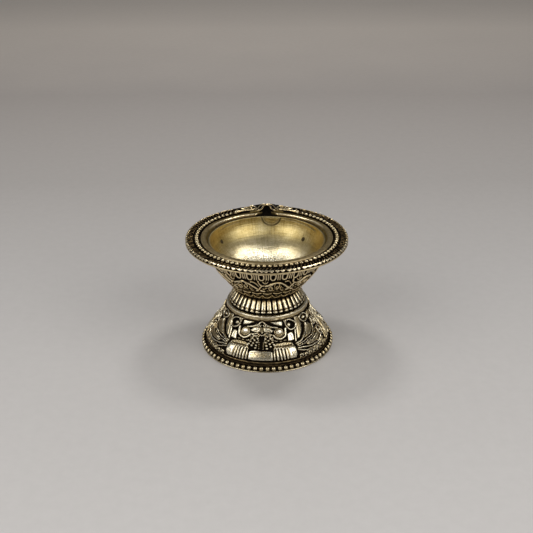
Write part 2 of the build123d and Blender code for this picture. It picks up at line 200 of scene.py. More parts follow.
class Relief:
    """Heights in mm drawn on rows of a cut, starting from a level ground.

    Points are (angle in degrees, z in mm). Shapes are drawn in angle and climb, which
    have the same scale, on a grid bent a little by the warp.
    """

    def __init__(self, cut, rows, angles, ground, warp, seed):
        z = cut.z[rows]
        order = np.argsort(z[:, 0])
        self.z_key = z[order, 0]
        self.radius_key = cut.radius[rows][order, 0]
        self.climb_key = cut.climb[rows][order]
        self.columns, self.levels = angles[0], cut.climb[rows]
        self.radius = cut.radius[rows] + 0 * angles
        self.ground = ground
        self.height = np.full(self.radius.shape, float(ground))
        theta = around(angles.size)
        sideways = wave_noise(theta, z, seed, [(9, .5), (17, -.8), (31, 1.3), (47, .9)], warp)
        upward = wave_noise(theta, z, seed + 1, [(11, .7), (19, -.6), (29, 1.1), (43, -1.4)], warp)
        self.angle = angles + sideways / self.radius
        self.climb = self.levels[:, None] + upward / self.radius

    def draw(self, marks, shift=0):
        """Draws marks in order: (method name, point or points, its other arguments)."""
        for kind, points, *sizes in marks:
            getattr(self, kind)(np.add(points, (shift, 0)), *sizes)

    def place(self, points):
        points = np.atleast_2d(np.asarray(points, float))
        climb = np.interp(points[:, 1], self.z_key, self.climb_key)
        return np.stack([np.radians(points[:, 0]), climb], 1)

    def window(self, path, margin):
        """Index of the part of the grid that the path can reach."""
        margin = margin / self.radius.min() + 0.02
        low, high = path.min(0) - margin, path.max(0) + margin
        columns = np.where((self.columns >= low[0]) & (self.columns <= high[0]))[0]
        rows = np.where((self.levels >= low[1]) & (self.levels <= high[1]))[0]
        return np.ix_(rows, columns)

    def distance(self, path, patch):
        return path_distance(self.angle[patch], self.climb[patch], path) * self.radius[patch]

    def stroke(self, path, width, top, groove, low=None):
        """Rounded ridge along a placed path, in a trough that reaches groove beyond it."""
        patch = self.window(path, width + groove)
        away = self.distance(path, patch)
        height = self.height[patch]
        low = self.ground if low is None else low
        if groove > 0:
            share = smooth(width + groove, width + 0.42 * groove, away)
            height = np.minimum(height, height + (low - height) * share)
        ridge = low + (top - low) * bulge(np.clip(away / width, 0, 1), 2.2)
        self.height[patch] = np.where(away < width, np.maximum(height, ridge), height)

    def line(self, points, width, top, groove):
        self.stroke(spline(self.place(points)), width, top, groove)

    def ring(self, at, across, up, width, top, groove, turn=0, arc=(0, 360), low=None):
        """Stroke along an ellipse, or along an arc of it."""
        centre = self.place(at)[0]
        scale = np.interp(at[1], self.z_key, self.radius_key)
        steps = np.radians(np.linspace(*arc, 28))
        turn = radians(turn)
        x, y = across * np.cos(steps), up * np.sin(steps)
        path = np.stack([centre[0] + (x * cos(turn) - y * sin(turn)) / scale,
                         centre[1] + (x * sin(turn) + y * cos(turn)) / scale], 1)
        self.stroke(path, width, top, groove, low)

    def groove(self, points, width, depth):
        path = spline(self.place(points))
        patch = self.window(path, width)
        self.height[patch] -= depth * smooth(width, width * 0.15, self.distance(path, patch))

    def dome(self, at, across, up, top, turn=0, base=None, power=2.0):
        centre = self.place(at)
        patch = self.window(centre, max(across, up))
        x = (self.angle[patch] - centre[0, 0]) * self.radius[patch]
        y = (self.climb[patch] - centre[0, 1]) * self.radius[patch]
        turn = radians(turn)
        reach = np.hypot((x * cos(turn) + y * sin(turn)) / across,
                         (-x * sin(turn) + y * cos(turn)) / up)
        base = self.ground if base is None else base
        rise = np.maximum(0, 1 - np.clip(reach, 0, 1) ** power) ** (1 / power)
        height = self.height[patch]
        raised = np.maximum(height, base + (top - base) * rise)
        self.height[patch] = np.where(reach < 1, raised, height)

    def area(self, points, edge):
        """The patch round a polygon, what lies inside, and a rise over the edge's width."""
        path = self.place(points)
        patch = self.window(path, 0.1)
        angle, climb = self.angle[patch], self.climb[patch]
        loop = np.vstack([path, path[:1]])
        rise = bulge(1 - np.clip(self.distance(loop, patch) / edge, 0, 1))
        inside = np.zeros(angle.shape, bool)
        for start, end in zip(loop[:-1], loop[1:]):
            if start[1] == end[1]:
                continue
            slope = (end[0] - start[0]) * (climb - start[1]) / (end[1] - start[1])
            inside ^= ((start[1] > climb) != (end[1] > climb)) & (angle < slope + start[0])
        return patch, inside, rise

    def pad(self, points, level, edge, shape=None):
        """Raised polygon; shape(angle, climb) varies its level."""
        patch, inside, rise = self.area(points, edge)
        if shape:
            level = level + shape(self.angle[patch], self.climb[patch])
        height = self.height[patch]
        raised = self.ground + (level - self.ground) * rise
        self.height[patch] = np.where(inside, np.maximum(height, raised), height)

    def sink(self, points, level, edge):
        """Sunk polygon."""
        patch, inside, rise = self.area(points, edge)
        height = self.height[patch]
        self.height[patch] = np.where(inside, height + (level - height) * rise, height)


# ------------------------------------------------------------------ meshes
def blur(grid, passes, closed=True):
    for _ in range(passes):
        grid = (np.roll(grid, 1, 1) + 2 * grid + np.roll(grid, -1, 1)) / 4
        if closed:
            grid = (np.roll(grid, 1, 0) + 2 * grid + np.roll(grid, -1, 0)) / 4
        else:
            blurred = grid.copy()
            blurred[1:-1] = (grid[:-2] + 2 * grid[1:-1] + grid[2:]) / 4
            grid = blurred
    return grid


def cavity(grid, closed, fine_passes, broad_passes):
    """How far points stand above their smoothed neighbourhood, in mm, fine and broad."""
    fine = blur(grid, fine_passes, closed)
    broad = blur(fine, broad_passes - fine_passes, closed)
    across = np.roll(fine, -1, 1) - np.roll(fine, 1, 1)
    if closed:
        along = np.roll(fine, -1, 0) - np.roll(fine, 1, 0)
    else:
        along = np.gradient(fine, axis=0)
    normal = np.cross(across, along)
    normal /= np.maximum(np.linalg.norm(normal, axis=2, keepdims=True), 1e-12)
    return ((grid - fine) * normal).sum(2), ((grid - broad) * normal).sum(2)


def quads(rows, following):
    """Faces between rows of vertex indices and the rows that follow them."""
    corners = [rows, np.roll(rows, -1, 1), np.roll(following, -1, 1), following]
    return np.stack(corners, -1).reshape(-1, 4).tolist()


def cap(centre, ring, last):
    """Triangles that close the first or last ring of a grid."""
    ring = [int(i) for i in ring]
    following = ring[1:] + ring[:1]
    if last:
        ring, following = following, ring
    return [[centre, b, a] for a, b in zip(ring, following)]


def new_mesh(name, points_mm, faces, attributes):
    mesh = bpy.data.meshes.new(name)
    mesh.from_pydata((np.asarray(points_mm) * MM).tolist(), [], faces)
    mesh.update()
    for key, values in attributes.items():
        attribute = mesh.attributes.new(key, "FLOAT", "POINT")
        attribute.data.foreach_set("value", np.asarray(values, np.float32))
    return mesh


def add_object(name, data):
    ob = bpy.data.objects.new(name, data)
    bpy.context.scene.collection.objects.link(ob)
    return ob


def add_smooth(name, mesh):
    mesh.polygons.foreach_set("use_smooth", [True] * len(mesh.polygons))
    return add_object(name, mesh)


def add_grid(name, grid, passes, closed=True, **attributes):
    """A solid from a grid in mm: its rows join up when closed, and get end caps if not."""
    fine, broad = cavity(grid, closed, *passes)
    attributes = {"fine": fine, "broad": broad, **attributes}
    count = grid.shape[0] * grid.shape[1]
    index = np.arange(count).reshape(grid.shape[:2])
    points = grid.reshape(-1, 3)
    if closed:
        faces = quads(index, np.roll(index, -1, 0))
        attributes = {key: value.reshape(-1) for key, value in attributes.items()}
    else:
        points = np.vstack([points, grid[0].mean(0), grid[-1].mean(0)])
        faces = quads(index[:-1], index[1:])
        faces += cap(count, index[0], last=False) + cap(count + 1, index[-1], last=True)
        attributes = {key: np.r_[value.reshape(-1), value[0].mean(), value[-1].mean()]
                      for key, value in attributes.items()}
    return add_smooth(name, new_mesh(name, points, faces, attributes))


# ------------------------------------------------------------------ base
BIRD_AXIS = radians(-6.5)      # the birds' mirror line
BIRD_GROUND = -0.44
SPIGOT_RADIUS = 9.0
LAND_Z = 19.2                  # shoulder round the spigot
BORE_RADIUS = 3.5
THREAD_PITCH = 1.25
THREAD_DEPTH = .58

# Marks are (method of Relief, point or points, its sizes in mm in the method's order).
# Plain fields of the tail, fanning from its root beside the wing.
TAIL_FIELDS = [
    [(41.2, 9.9), (42.4, 11.2), (43.8, 12.9), (45.4, 14.6), (45.2, 16.2), (46, 17.4),
     (51.2, 17.3), (52.6, 15.8), (53.6, 14.2), (51.2, 12.5), (48, 11.2), (44.6, 10.2)],
    [(46.6, 9.45), (51, 10.3), (56, 11.5), (61.6, 13), (65.6, 13.3), (69.2, 12.2),
     (67.8, 10.8), (61, 9.85), (54, 9.3)],
    [(49, 7.65), (55, 7.9), (61, 8.15), (67.5, 8.6), (72.2, 9.5), (74.2, 8.8), (73, 7.6),
     (66, 6.85), (58, 6.65), (51, 6.9)],
    [(50, 5.8), (56, 5.72), (62, 5.65), (68, 5.95), (74, 6.75), (76.4, 6.2), (72, 5.25),
     (62, 4.95), (52, 5.2)],
    [(70.2, 14.3), (71.2, 16.6), (75.6, 17.2), (79.6, 16.4), (78.6, 14.9), (74.6, 14.8)],
    [(79.6, 6.2), (78.6, 5), (82.6, 4.6), (84.6, 6.4), (85.2, 8.6), (82.8, 9.2), (81.6, 7.6)],
]
# Feather quills, then barbs cut into the fields.
TAIL_FEATHERS = [
    ("line", [(38, 9), (39.2, 10.7), (40.8, 12.3), (42.6, 13.6)], .24, .36, .34),
    ("line", [(38.2, 8.65), (43.7, 9.1), (49.6, 10.15), (54.8, 11.5), (58.6, 12.9), (61, 13.9)],
     .38, .6, .5),
    ("line", [(38.6, 8.15), (46.6, 8.55), (53.5, 8.9), (60.3, 9.25), (66.2, 10), (70.6, 11.4),
              (72.4, 12.8)], .24, .34, .34),
    ("line", [(38.6, 7.75), (46.6, 7.78), (53, 8.1), (60, 8.55), (67, 9.25), (72.6, 10.2)],
     .16, .2, .3),
    ("line", [(38.4, 7.25), (44.5, 6.85), (50.5, 6.45), (57, 6.22), (63, 6.25), (69, 6.65),
              (74.5, 7.5)], .3, .46, .44),
    ("line", [(37.8, 6.8), (42, 6.1), (48, 5.5), (56, 4.85)], .2, .28, .34),
    ("groove", [(47.4, 12.6), (48.4, 14.4)], .15, .2),
    ("groove", [(56.5, 10.6), (60.4, 11.2)], .15, .2),
    ("groove", [(53.6, 7.35), (58, 7.35)], .15, .2),
    ("groove", [(63.5, 7.5), (68, 7.95)], .15, .2),
    ("groove", [(58.8, 11.5), (62.4, 12.3)], .15, .2),
]
# Feather eyes: outline, its width and top, seed's place, its half width and half height.
FEATHER_EYES = [
    ([(31.2, 17), (34.2, 17.25), (39.2, 16.75), (43.6, 15.8), (44.6, 14.9), (42.6, 13.9),
      (38.6, 13.4), (34.6, 13.65), (31.4, 14.6), (30.2, 15.7)],
     .366, .62, (35.4, 15.2), .7128, .8208),
    ([(53.6, 16.6), (54.6, 15.5), (58.4, 14.5), (63.2, 14.2), (67.4, 14.7), (68.8, 15.7),
      (66.4, 16.7), (60.6, 17.3)], .3172, .4, (61.6, 15.7), .918, .648),
    ([(72.6, 12.2), (74.4, 11.2), (77.4, 11.3), (78.8, 12.3), (77.8, 13.6), (74.8, 14.1),
      (72.8, 13.4)], .2928, .34, (75.6, 12.6), .5184, .594),
    ([(73.4, 8.5), (75.4, 7.3), (78.6, 7.3), (80.4, 8.4), (79.2, 9.7), (76, 10.1),
      (73.8, 9.6)], .2928, .34, (76.8, 8.6), .594, .594),
    ([(80.6, 14.2), (82.6, 13.2), (85.2, 13.6), (86, 14.8), (84.6, 16.1), (82, 16.3),
      (80.6, 15.4)], .2684, .3, (83.2, 14.8), .4536, .54),
    ([(81.6, 10.6), (83.4, 9.7), (85.6, 10.2), (86, 11.4), (84.6, 12.4), (82.2, 12.3)],
     .2684, .28, (83.8, 11.1), .3888, .486),
]
ABOVE_WING = [
    # flat bands and brow lines above the birds
    ("line", [(29, 17.9), (29.3, 16.8), (30, 15.6)], .24, .36, .2),
    ("pad", [(11, 16.7), (14.5, 17.05), (25.6, 16.95), (26.4, 16), (25.8, 15.05),
             (20.4, 15.75), (15.2, 16.2)], .22, .3),
    ("line", [(-1, 17.35), (1.6, 17), (4.8, 16.15), (9.8, 15.45), (16.6, 15), (19.2, 14.95)],
     .32, .46, .32),
    ("line", [(5, 15.35), (8.6, 14.95), (11.6, 14.85)], .15, .1, .12),
    # round boss with a crescent under it
    ("dome", (20.4, 13.35), 1.55, 1.28, .7, 0, -.2, 2.2),
    ("ring", (20.4, 13.35), 1.62, 1.34, .16, .05, .22),
    ("ring", (20.4, 13.5), .95, .62, .13, .76, 0, 0, (10, 200), .62),
    ("line", [(29.3, 14.2), (28.6, 12.5), (25.8, 11.5), (21.6, 11.05), (17.2, 11.35),
              (13.6, 12.4)], .44, .5, .28),
    ("line", [(27.2, 13.1), (25.2, 12.3), (21.4, 11.85), (17.6, 12.1)], .13, .02, .1),
    # leaf between the crescent and the feathers
    ("pad", [(30.9, 12.35), (33.6, 12.75), (36.9, 12.4), (37.4, 11.2), (36.6, 9.9),
             (33.4, 9.85), (29.2, 10.05), (30.2, 11.2)], .3, .36),
    ("groove", [(33.4, 12.2), (34.6, 11.2), (34.6, 10.2)], .13, .12),
    # strip for the covert feathers
    ("pad", [(13.2, 8.3), (14, 9.5), (18, 9.85), (25, 9.9), (31, 9.75), (33.8, 9.2),
             (34.6, 8.3), (24, 8.2)], .16, .45),
]
WING = [(12.6, 4.1), (12.4, 6.2), (12.8, 8.1), (14.4, 8.65), (24, 8.62), (32, 8.6), (35.4, 8.2),
        (36.2, 7.2), (35.8, 5.6), (33.8, 4.1), (22, 3.9)]
BLOCK_AND_NECK = [
    # plain block the birds stand on
    ("pad", [(-1, 4.2), (-1, 7.5), (9, 7.45), (11.3, 7.1), (11.7, 4.2)], .17, .28),
    ("groove", [(-1, 7), (10.6, 6.75)], .13, .08),
    ("groove", [(2.2, 5.6), (3.4, 5.85)], .14, .06),
    ("groove", [(6.4, 4.9), (7.6, 5.15)], .14, .06),
    ("groove", [(8.8, 6), (10, 6.25)], .14, .06),
    ("groove", [(4.6, 6.3), (5.8, 6.55)], .14, .06),
    # neck, spreading down to the wing
    ("pad", [(3.3, 12.6), (7.2, 12.7), (9.4, 11.6), (11.8, 10.3), (14.4, 9.5), (13.4, 7.7),
             (9.4, 7.5), (5.6, 8.4), (4, 10.6)], -.38, .35),
]
HEAD = [
    # head turned outward with an open beak
    ("pad", [(1.5, 14.9), (4, 15.25), (7.4, 15.05), (11, 14.6), (15, 13.95), (12, 13.45),
             (8.8, 13.35), (5, 13.2), (2, 13.6)], .46, .4),
    ("line", [(4.8, 12.95), (8.4, 12.85), (11.6, 12.6), (8, 12.2), (5, 12.2)], .26, .42, .16),
    ("dome", (12.4, 11.6), .36, .3, .22),
    ("dome", (13.6, 12.5), .36, .3, .22),
    ("dome", (9.6, 11.9), .36, .3, .22),
    ("dome", (11.4, 10.95), .36, .3, .22),
    ("dome", (14.8, 10.5), .36, .3, .22),
    ("groove", [(5.6, 13.95), (9, 13.85), (13.4, 13.85)], .16, .26),
    ("groove", [(3.4, 14.6), (4.6, 14)], .16, .22),
    ("dome", (7, 14.5), .24, .24, .6, 0, .35),
    # crest
    ("line", [(2.6, 15.2), (1.6, 15.9)], .2, .3, .1),
    ("line", [(4.4, 15.4), (4, 16)], .2, .3, .1),
    ("line", [(6.2, 15.3), (6.8, 15.75)], .2, .3, .1),
]
GROUND_FILL = [
    # openwork between the necks
    ("line", [(0, 12.3), (1.4, 12.6), (2.6, 12.2)], .18, .2, 0),
    ("line", [(0, 13.2), (1, 13.9), (1.2, 14.9)], .18, .05, 0),
    ("groove", [(0, 7.8), (0, 10), (0, 11.9)], .75, .16),
    # loose foliage
    ("dome", (16.5, 10.35), .5, .22, .05, 10),
    ("dome", (12.4, 10.9), .5, .28, .05, -50),
    ("dome", (10.2, 11.9), .3, .3, 0),
    ("dome", (26.4, 10.4), .7, .22, .06, 10),
    ("dome", (21.6, 10.3), .6, .2, .02),
]
# Bud on the line where the two fans meet.
BUD = [
    ("pad", [(91, 4), (91, 13), (89.6, 12.2), (88.2, 9.8), (87.6, 7), (88.4, 4.8)], .22, .45),
    ("line", [(91, 16.6), (88.9, 15.6), (87.6, 12.4), (86.4, 8.6), (85.6, 5.6), (86.8, 4.2)],
     .22, .3, .26),
    ("line", [(80.4, 5), (83, 6), (84.6, 7.8), (83.8, 8.6)], .2, .22, .2),
    ("groove", [(90, 5.2), (90, 8), (90, 11.4)], .2, .22),
]


def draw_tail(relief):
    for field in TAIL_FIELDS:
        relief.pad(field, .06, .3, shape=lambda angle, climb:
                   .04 * np.sin(np.degrees(angle) * .16 + climb * 9))
    relief.draw(TAIL_FEATHERS)
    for outline, width, top, seed_at, seed_across, seed_up in FEATHER_EYES:
        loop = closed_spline(outline)
        relief.sink(loop[:-1], -.46, .25)
        relief.stroke(relief.place(loop), width, top, groove=.3)
        relief.dome(seed_at, seed_across, seed_up, .44, power=1.9)


def draw_wing(relief):
    """Folded wing: a swelling pad, fluted on its inner side, under a row of coverts."""
    def swelling(angle, climb):
        z = np.interp(climb, relief.climb_key, relief.z_key)
        roll = .2 * smooth(4, 6.9, z) - .34 * smooth(6.9, 8.7, z) ** 1.6
        return roll - .16 * smooth(31.5, 35.6, np.degrees(angle))

    for k in range(11):
        a = 14.6 + 1.75 * k
        relief.groove([(a, 8.7), (a + .35, 9.3), (a + .2, 9.9)], .2, .26)
    relief.pad(WING, .5, .75, shape=swelling)
    relief.groove([(13.4, 8.75), (18, 8.78), (26, 8.74), (33, 8.72)], .17, .3)
    for k in range(5):
        a = 14.2 + 3.05 * k
        flute = [(a + .9, 4), (a + .5, 5.4), (a + .2, 6.8), (a, 7.9 - .05 * k)]
        relief.groove(flute, .5, .84 if k < 4 else .5)
    for k in range(3):
        a = 30.2 + 1.7 * k
        relief.groove([(a + .3, 4.1), (a + .1, 5.2), (a - .2, 6.3)], .22, .22)


def draw_neck_scales(relief):
    """Three lanes of scales, the middle one half a scale out of step."""
    spacing = 13
    for lane, offset in ((0, 0), (1.5, .5), (3, 0)):
        path = spline([(3.8 + lane * 1.75, 12.7 + .04 * lane), (4.2 + lane * 2, 11.2),
                       (4.8 + lane * 2.45, 10), (5.6 + lane * 2.65, 8.9 + .12 * lane),
                       (6.2 + lane * 2.7, 8 + .3 * lane)], 14)
        for k in range(int(offset * spacing), len(path), spacing):
            top = .7 - .08 * ((k * 5 + int(lane)) % 3)
            relief.dome(path[k], .54, .47, top, base=-.5, power=2.4)


def draw_fringe(relief):
    """Scalloped fringe and curls under the tail."""
    random = np.random.default_rng(23)
    for k in range(9):
        a = 39.6 + 5.4 * k + random.uniform(-.5, .5)
        z = 4.35 + random.uniform(-.15, .2)
        relief.ring((a, z), .66, .5, .19, .2, .14, random.uniform(-25, 25), (-20, 235))
        relief.dome((a + .3, z), .25, .22, .12)
        relief.line([(a - 1.9, 3.6), (a - .9, 3.8), (a + .2, 3.55)], .15, 0, .06)
        low_z = 5 + random.uniform(-.1, .1)
        relief.dome((a + 2.4, low_z), .3, .18, 0, random.uniform(-40, 40))


def bird_relief(cut, rows, theta):
    """Two birds back to back with fanned tails, drawn once and mirrored about both axes."""
    fold = np.abs((theta - BIRD_AXIS + pi / 2) % pi - pi / 2)
    relief = Relief(cut, rows, fold, BIRD_GROUND, warp=.1, seed=21)
    draw_tail(relief)
    relief.draw(ABOVE_WING)
    draw_wing(relief)
    relief.draw(BLOCK_AND_NECK)
    draw_neck_scales(relief)
    relief.draw(HEAD)
    for k in range(7):
        at = (2.5 + (.192 * k if k > 3 else 0), 8.2 + .62 * k)
        relief.dome(at, .27, .24, .22 - .1 * (k % 2), base=-.42)
    relief.draw(GROUND_FILL)
    draw_fringe(relief)
    relief.draw(BUD)
    return relief.height


def base_cut():
    cut = Cut()
    cut.line("under", [(24.5, 0), (25.3, 0), (26.7, 0)], .45)
    cut.curve("footedge", [(26.7, 0), (26.88, .12), (26.86, .32), (26.68, .46), (26.4, .48)], .12)
    cut.line("seat", [(26.4, .48), (25.24, .49), (25.24, 2.3)], .22)
    cut.curve("channel", [(25.24, 2.3), (25.4, 2.55), (25.36, 2.95), (25.18, 3.4)], .12)
    cut.curve("body", [(25.18, 3.4), (24.85, 4.2), (24.3, 5.6), (22.4, 8.2), (19.8, 11.6),
                       (18, 14.6), (16.75, 17.4)], .135)
    cut.curve("ridge", [(16.75, 17.4), (16.3, 18), (16.25, 18.5), (16.2, 18.95), (15.8, 19.18),
                        (15.2, LAND_Z)], .12)
    cut.line("land", [(15.2, LAND_Z), (14, LAND_Z), (SPIGOT_RADIUS, LAND_Z)], .7)
    cut.line("spigot", [(SPIGOT_RADIUS, LAND_Z), (SPIGOT_RADIUS, 23.1), (8.7, 23.4), (4.1, 23.4),
                        (BORE_RADIUS, 22.8)], .7)
    cut.line("bore", [(BORE_RADIUS, 22.8), (BORE_RADIUS, 16.4)], .2)
    cut.line("crown", [(BORE_RADIUS, 16.4), (3.6, 16.2), (14.2, 16.2)], .9)
    cut.curve("inside", [(14.2, 16.2), (15.6, 14.2), (17.4, 11.4), (20, 7.9), (22.3, 4.4),
                         (23.6, 2.2), (24.5, 0)], .55)
    cut.finish()
    return cut


def make_base(columns):
    theta = around(columns)
    cut = base_cut()
    height = np.zeros((len(cut.z), columns))
    body, _, body_z = cut.part("body")
    # the field fades into the plain ridge above and the channel below
    height[body] = mix(-.3, bird_relief(cut, body, theta),
                       between(body_z, 3.35, 3.75, 17.1, 17.42))
    rows, _, z = cut.part("channel")
    height[rows] = -.28 + wave_noise(theta, z * 3, 5, [(41, 1), (63, 2), (27, 3)], .03)
    ridge, _, z = cut.part("ridge")
    height[ridge] = (-.3 * smooth(17.95, 17.4, z)
                     + wave_noise(theta, z, 6, [(5, 1), (13, 2), (29, 3), (41, 5)], .035)
                     - .05 * np.maximum(0, np.sin(theta * 23 + 1.2 * np.sin(theta * 5))) ** 6)
    rows, _, z = cut.part("footedge")
    height[rows] = wave_noise(theta, z, 8, [(7, 1), (19, 2), (33, 3)], .03) - .02
    # tapped thread in the spigot
    rows, _, z = cut.part("bore")
    thread = (z - 17.5) / THREAD_PITCH - (theta - pi / 2) / (2 * pi)
    height[rows] = -THREAD_DEPTH * smooth(.1, .9, 1 - 2 * np.abs((thread + .5) % 1 - .5))
    rows = cut.rows("inside", "crown")
    height[rows] = wave_noise(theta, cut.z[rows], 9,
                              [(7, .6), (13, 1.1), (23, -.9), (37, 1.7)], .05)

    field = height[body]
    deep = np.zeros_like(height)
    deep[cut.rows("channel", "seat")] = 1
    deep[cut.rows("inside", "crown", "bore")] = .55
    # painted shade: the left and right sides, as the camera sees them, are darkened
    sides = (smooth(radians(54), radians(74), np.abs(signed(theta)))
             * smooth(radians(54), radians(74), np.abs(signed(theta - pi))))
    coverts = .3 * between(body_z, 8.55, 8.75, 9.8, 9.95) * smooth(0, .12, field)
    deep[body] = np.clip(coverts + .16 * smooth(-.3, -.42, field) + .24 * sides, 0, 1)
    # painted shade on the ridge's left and right sides
    deep[ridge] = .16 * sides
    worn = np.full_like(height, .8)
    worn[body] = (.08 * smooth(-.46, -.3, field) + .44 * smooth(-.34, -.08, field)
                  + .58 * smooth(.06, .34, field))
    worn[ridge] = .72 * smooth(-.26, -.02, height[ridge])
    worn[cut.rows("footedge")] = .45
    return add_grid("base_casting", cut.surface(theta, height), passes=(6, 36),
                    deep=blur(deep, 2), rel=worn)


# ------------------------------------------------------------------ beaded wires
BEAD_WIRE_RADIUS = .44
WIRE_STEPS = 420
WIRE_SIDES = 10


def make_beads(name, ring_radius, ring_z, bead_radius, places, seed, wear_and_highlight_tilt, wear_and_highlight_range,
               arc=None):
    """Beads at given angles on a wire.

    The tilt argument leans the bright side outward from the top, in degrees; the range argument is
    where the brightness starts and is full along that direction: rubbed wear with a painted
    highlight on the cap, and painted shade on the flanks and underside. arc is where an open
    wire starts and ends.
    """
    random = np.random.default_rng(seed)
    sides, rings = ((26, 17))
    points, faces, worn = [], [], []

    def add_tube(grid, values, ends):
        """Adds a grid of rings; ends are (centre, worn) of its two caps, if it has them."""
        index = np.arange(values.size).reshape(values.shape) + len(points)
        points.extend(grid.reshape(-1, 3).tolist())
        worn.extend(values.reshape(-1).tolist())
        faces.extend(quads(index[:-1], index[1:]))
        for (centre, value), ring, last in zip(ends, (index[0], index[-1]), (False, True)):
            faces.extend(cap(len(points), ring, last))
            points.append(centre)
            worn.append(value)

    u = np.linspace(0, 2 * pi, sides, endpoint=False)[None, :]
    v = np.linspace(0, pi, rings)[1:-1][:, None]
    nx, ny, nz = np.sin(v) * np.cos(u), np.sin(v) * np.sin(u), np.cos(v) + 0 * u
    tilt = radians(wear_and_highlight_tilt)
    # bright cap: rubbed wear plus a painted highlight; the flanks and underside fall off into
    # painted shade
    values = smooth(*wear_and_highlight_range, nz * cos(tilt) + ny * sin(tilt))
    for a in places:
        a = a + random.normal(0, .0014)
        radius = bead_radius * (1 - abs(random.normal(0, .014)))
        along, outward, up = (1 - abs(random.normal(0, spread)) for spread in (.025, .03, .03))
        dents = 1 - .016 * (1 + np.sin(3 * nx + random.uniform(0, 6))
                            * np.cos(4 * ny + random.uniform(0, 6)))
        z = ring_z - abs(random.normal(0, .01))
        x_local = nx * radius * along * dents
        reach = ring_radius + ny * radius * outward * dents
        grid = np.stack([sin(a) * reach + cos(a) * x_local, -cos(a) * reach + sin(a) * x_local,
                         z + nz * radius * up * dents], -1)
        pole = radius * up * .985
        x, y = sin(a) * ring_radius, -cos(a) * ring_radius
        add_tube(grid, values, [([x, y, z + pole], 1.0), ([x, y, z - pole], 0.0)])

    if arc is None:
        theta = around(WIRE_STEPS).T
        theta = np.vstack([theta, theta[:1]])
        ends = []
    else:
        theta = np.linspace(*arc, WIRE_STEPS)[:, None]
        ends = [([ring_radius * sin(a), -ring_radius * cos(a), ring_z], .1) for a in arc]
    side = around(WIRE_SIDES)
    radius = ring_radius + BEAD_WIRE_RADIUS * np.cos(side)
    grid = np.stack([radius * np.sin(theta), -radius * np.cos(theta),
                     ring_z + BEAD_WIRE_RADIUS * np.sin(side) + 0 * theta], -1)
    # the wire is painted dark: painted shade between the beads
    add_tube(grid, np.full(grid.shape[:2], .04), ends)

    mesh = new_mesh(name, points, faces, {"rel": worn})
    bm = bmesh.new()
    bm.from_mesh(mesh)
    bmesh.ops.remove_doubles(bm, verts=bm.verts, dist=1e-8)
    bmesh.ops.recalc_face_normals(bm, faces=bm.faces)
    bm.to_mesh(mesh)
    bm.free()
    return add_smooth(name, mesh)


# ------------------------------------------------------------------ neck collar
FLUTES = 40
FIRST_FLUTE = radians(-1)
COLLAR_BORE = 9.06
COLLAR_Z = 19.23
COLLAR_TOP = 25.0


def collar_relief(radius, z, theta):
    """Uneven flutes with grooves between, each ending in a round lobe below a waist."""
    random = np.random.default_rng(41)
    pitch = 2 * pi / FLUTES
    half = pitch / 2
    count = np.floor((theta - FIRST_FLUTE) / pitch)
    flute = count.astype(int) % FLUTES
    across = ((theta - FIRST_FLUTE) / pitch - count) * 2 - 1
    offset = random.normal(0, .01, FLUTES + 1)[flute]
    wide = random.uniform(.82, 1, FLUTES)[flute]
    lift = random.normal(0, .035, FLUTES)[flute]
    lean = random.normal(0, .05, FLUTES)[flute]
    across = across - offset * 4 + lean * (z - 22.5) / 3
    away = np.abs(across) * half * radius          # mm from the flute's centre line
    edge = half * radius - .2 - .06 * (1 - wide)
    crown = bulge(np.clip(away / edge, 0, 1), 2.6)
    height = -.6 + (.58 + lift) * crown
    height = height - .17 * hump(z, 20.95 + 1.2 * lift, .26) * crown
    lobe = bulge((away / (half * radius * .82)) ** 2 + ((z - 20.22) / .62) ** 2, power=1)
    height = mix(height, -.44 + .44 * lobe ** .8, smooth(20.95, 20.6, z))
    height = np.minimum(height, 0)
    # grooves close up under the top edge
    height = mix(height, -.1 - .05 * np.abs(across), smooth(24.35, 24.8, z))
    return height + wave_noise(theta, z * 2, 43,
                               [(31, 1.1), (53, -1.7), (83, 2.3), (7, .4)], .028)


def make_collar(columns):
    theta = around(columns)
    cut = Cut()
    cut.line("under", [(COLLAR_BORE, COLLAR_Z), (14.3, COLLAR_Z), (14.42, 19.62)], .6)
    cut.curve("lobe", [(14.42, 19.62), (14.98, 19.72), (15.26, 19.98), (15.27, 20.34),
                       (15.12, 20.8)], .07)
    cut.curve("side", [(15.12, 20.8), (14.72, 21.5), (14.2, 22.3), (13.1, 23.9),
                       (12.25, 24.72)], .11)
    cut.curve("lip", [(12.25, 24.72), (12, 24.93), (11.7, 24.99), (11.2, COLLAR_TOP)], .1)
    cut.line("top", [(11.2, COLLAR_TOP), (COLLAR_BORE, COLLAR_TOP)], .7)
    cut.line("bore", [(COLLAR_BORE, COLLAR_TOP), (COLLAR_BORE, COLLAR_Z)], 1.2)
    cut.finish()
    height = np.zeros((len(cut.z), columns))
    rows = cut.rows("lobe", "side", "lip")
    z = cut.z[rows]
    height[rows] = collar_relief(cut.radius[rows], z, theta)
    deep = np.zeros_like(height)
    deep[cut.rows("under", "top", "bore")] = 1
    # patina in the grooves, and painted shadow darkening the flutes towards the top, under the
    # bowl
    deep[rows] = smooth(23.5, 24.7, z) * .9 + .5 * smooth(-.25, -.45, height[rows])
    worn = np.full_like(height, .3)
    worn[rows] = smooth(-.42, -.06, height[rows])
    return add_grid("neck_collar_casting", cut.surface(theta, height), passes=(5, 26),
                    deep=blur(deep, 2), rel=worn)


# ------------------------------------------------------------------ bowl
# (y, z) of the ridge under the spout, from the wall out to the rim
KEEL = np.array([(23.6, 40.3), (26.2, 42.5), (29.6, 43.6), (33, 44.7)])
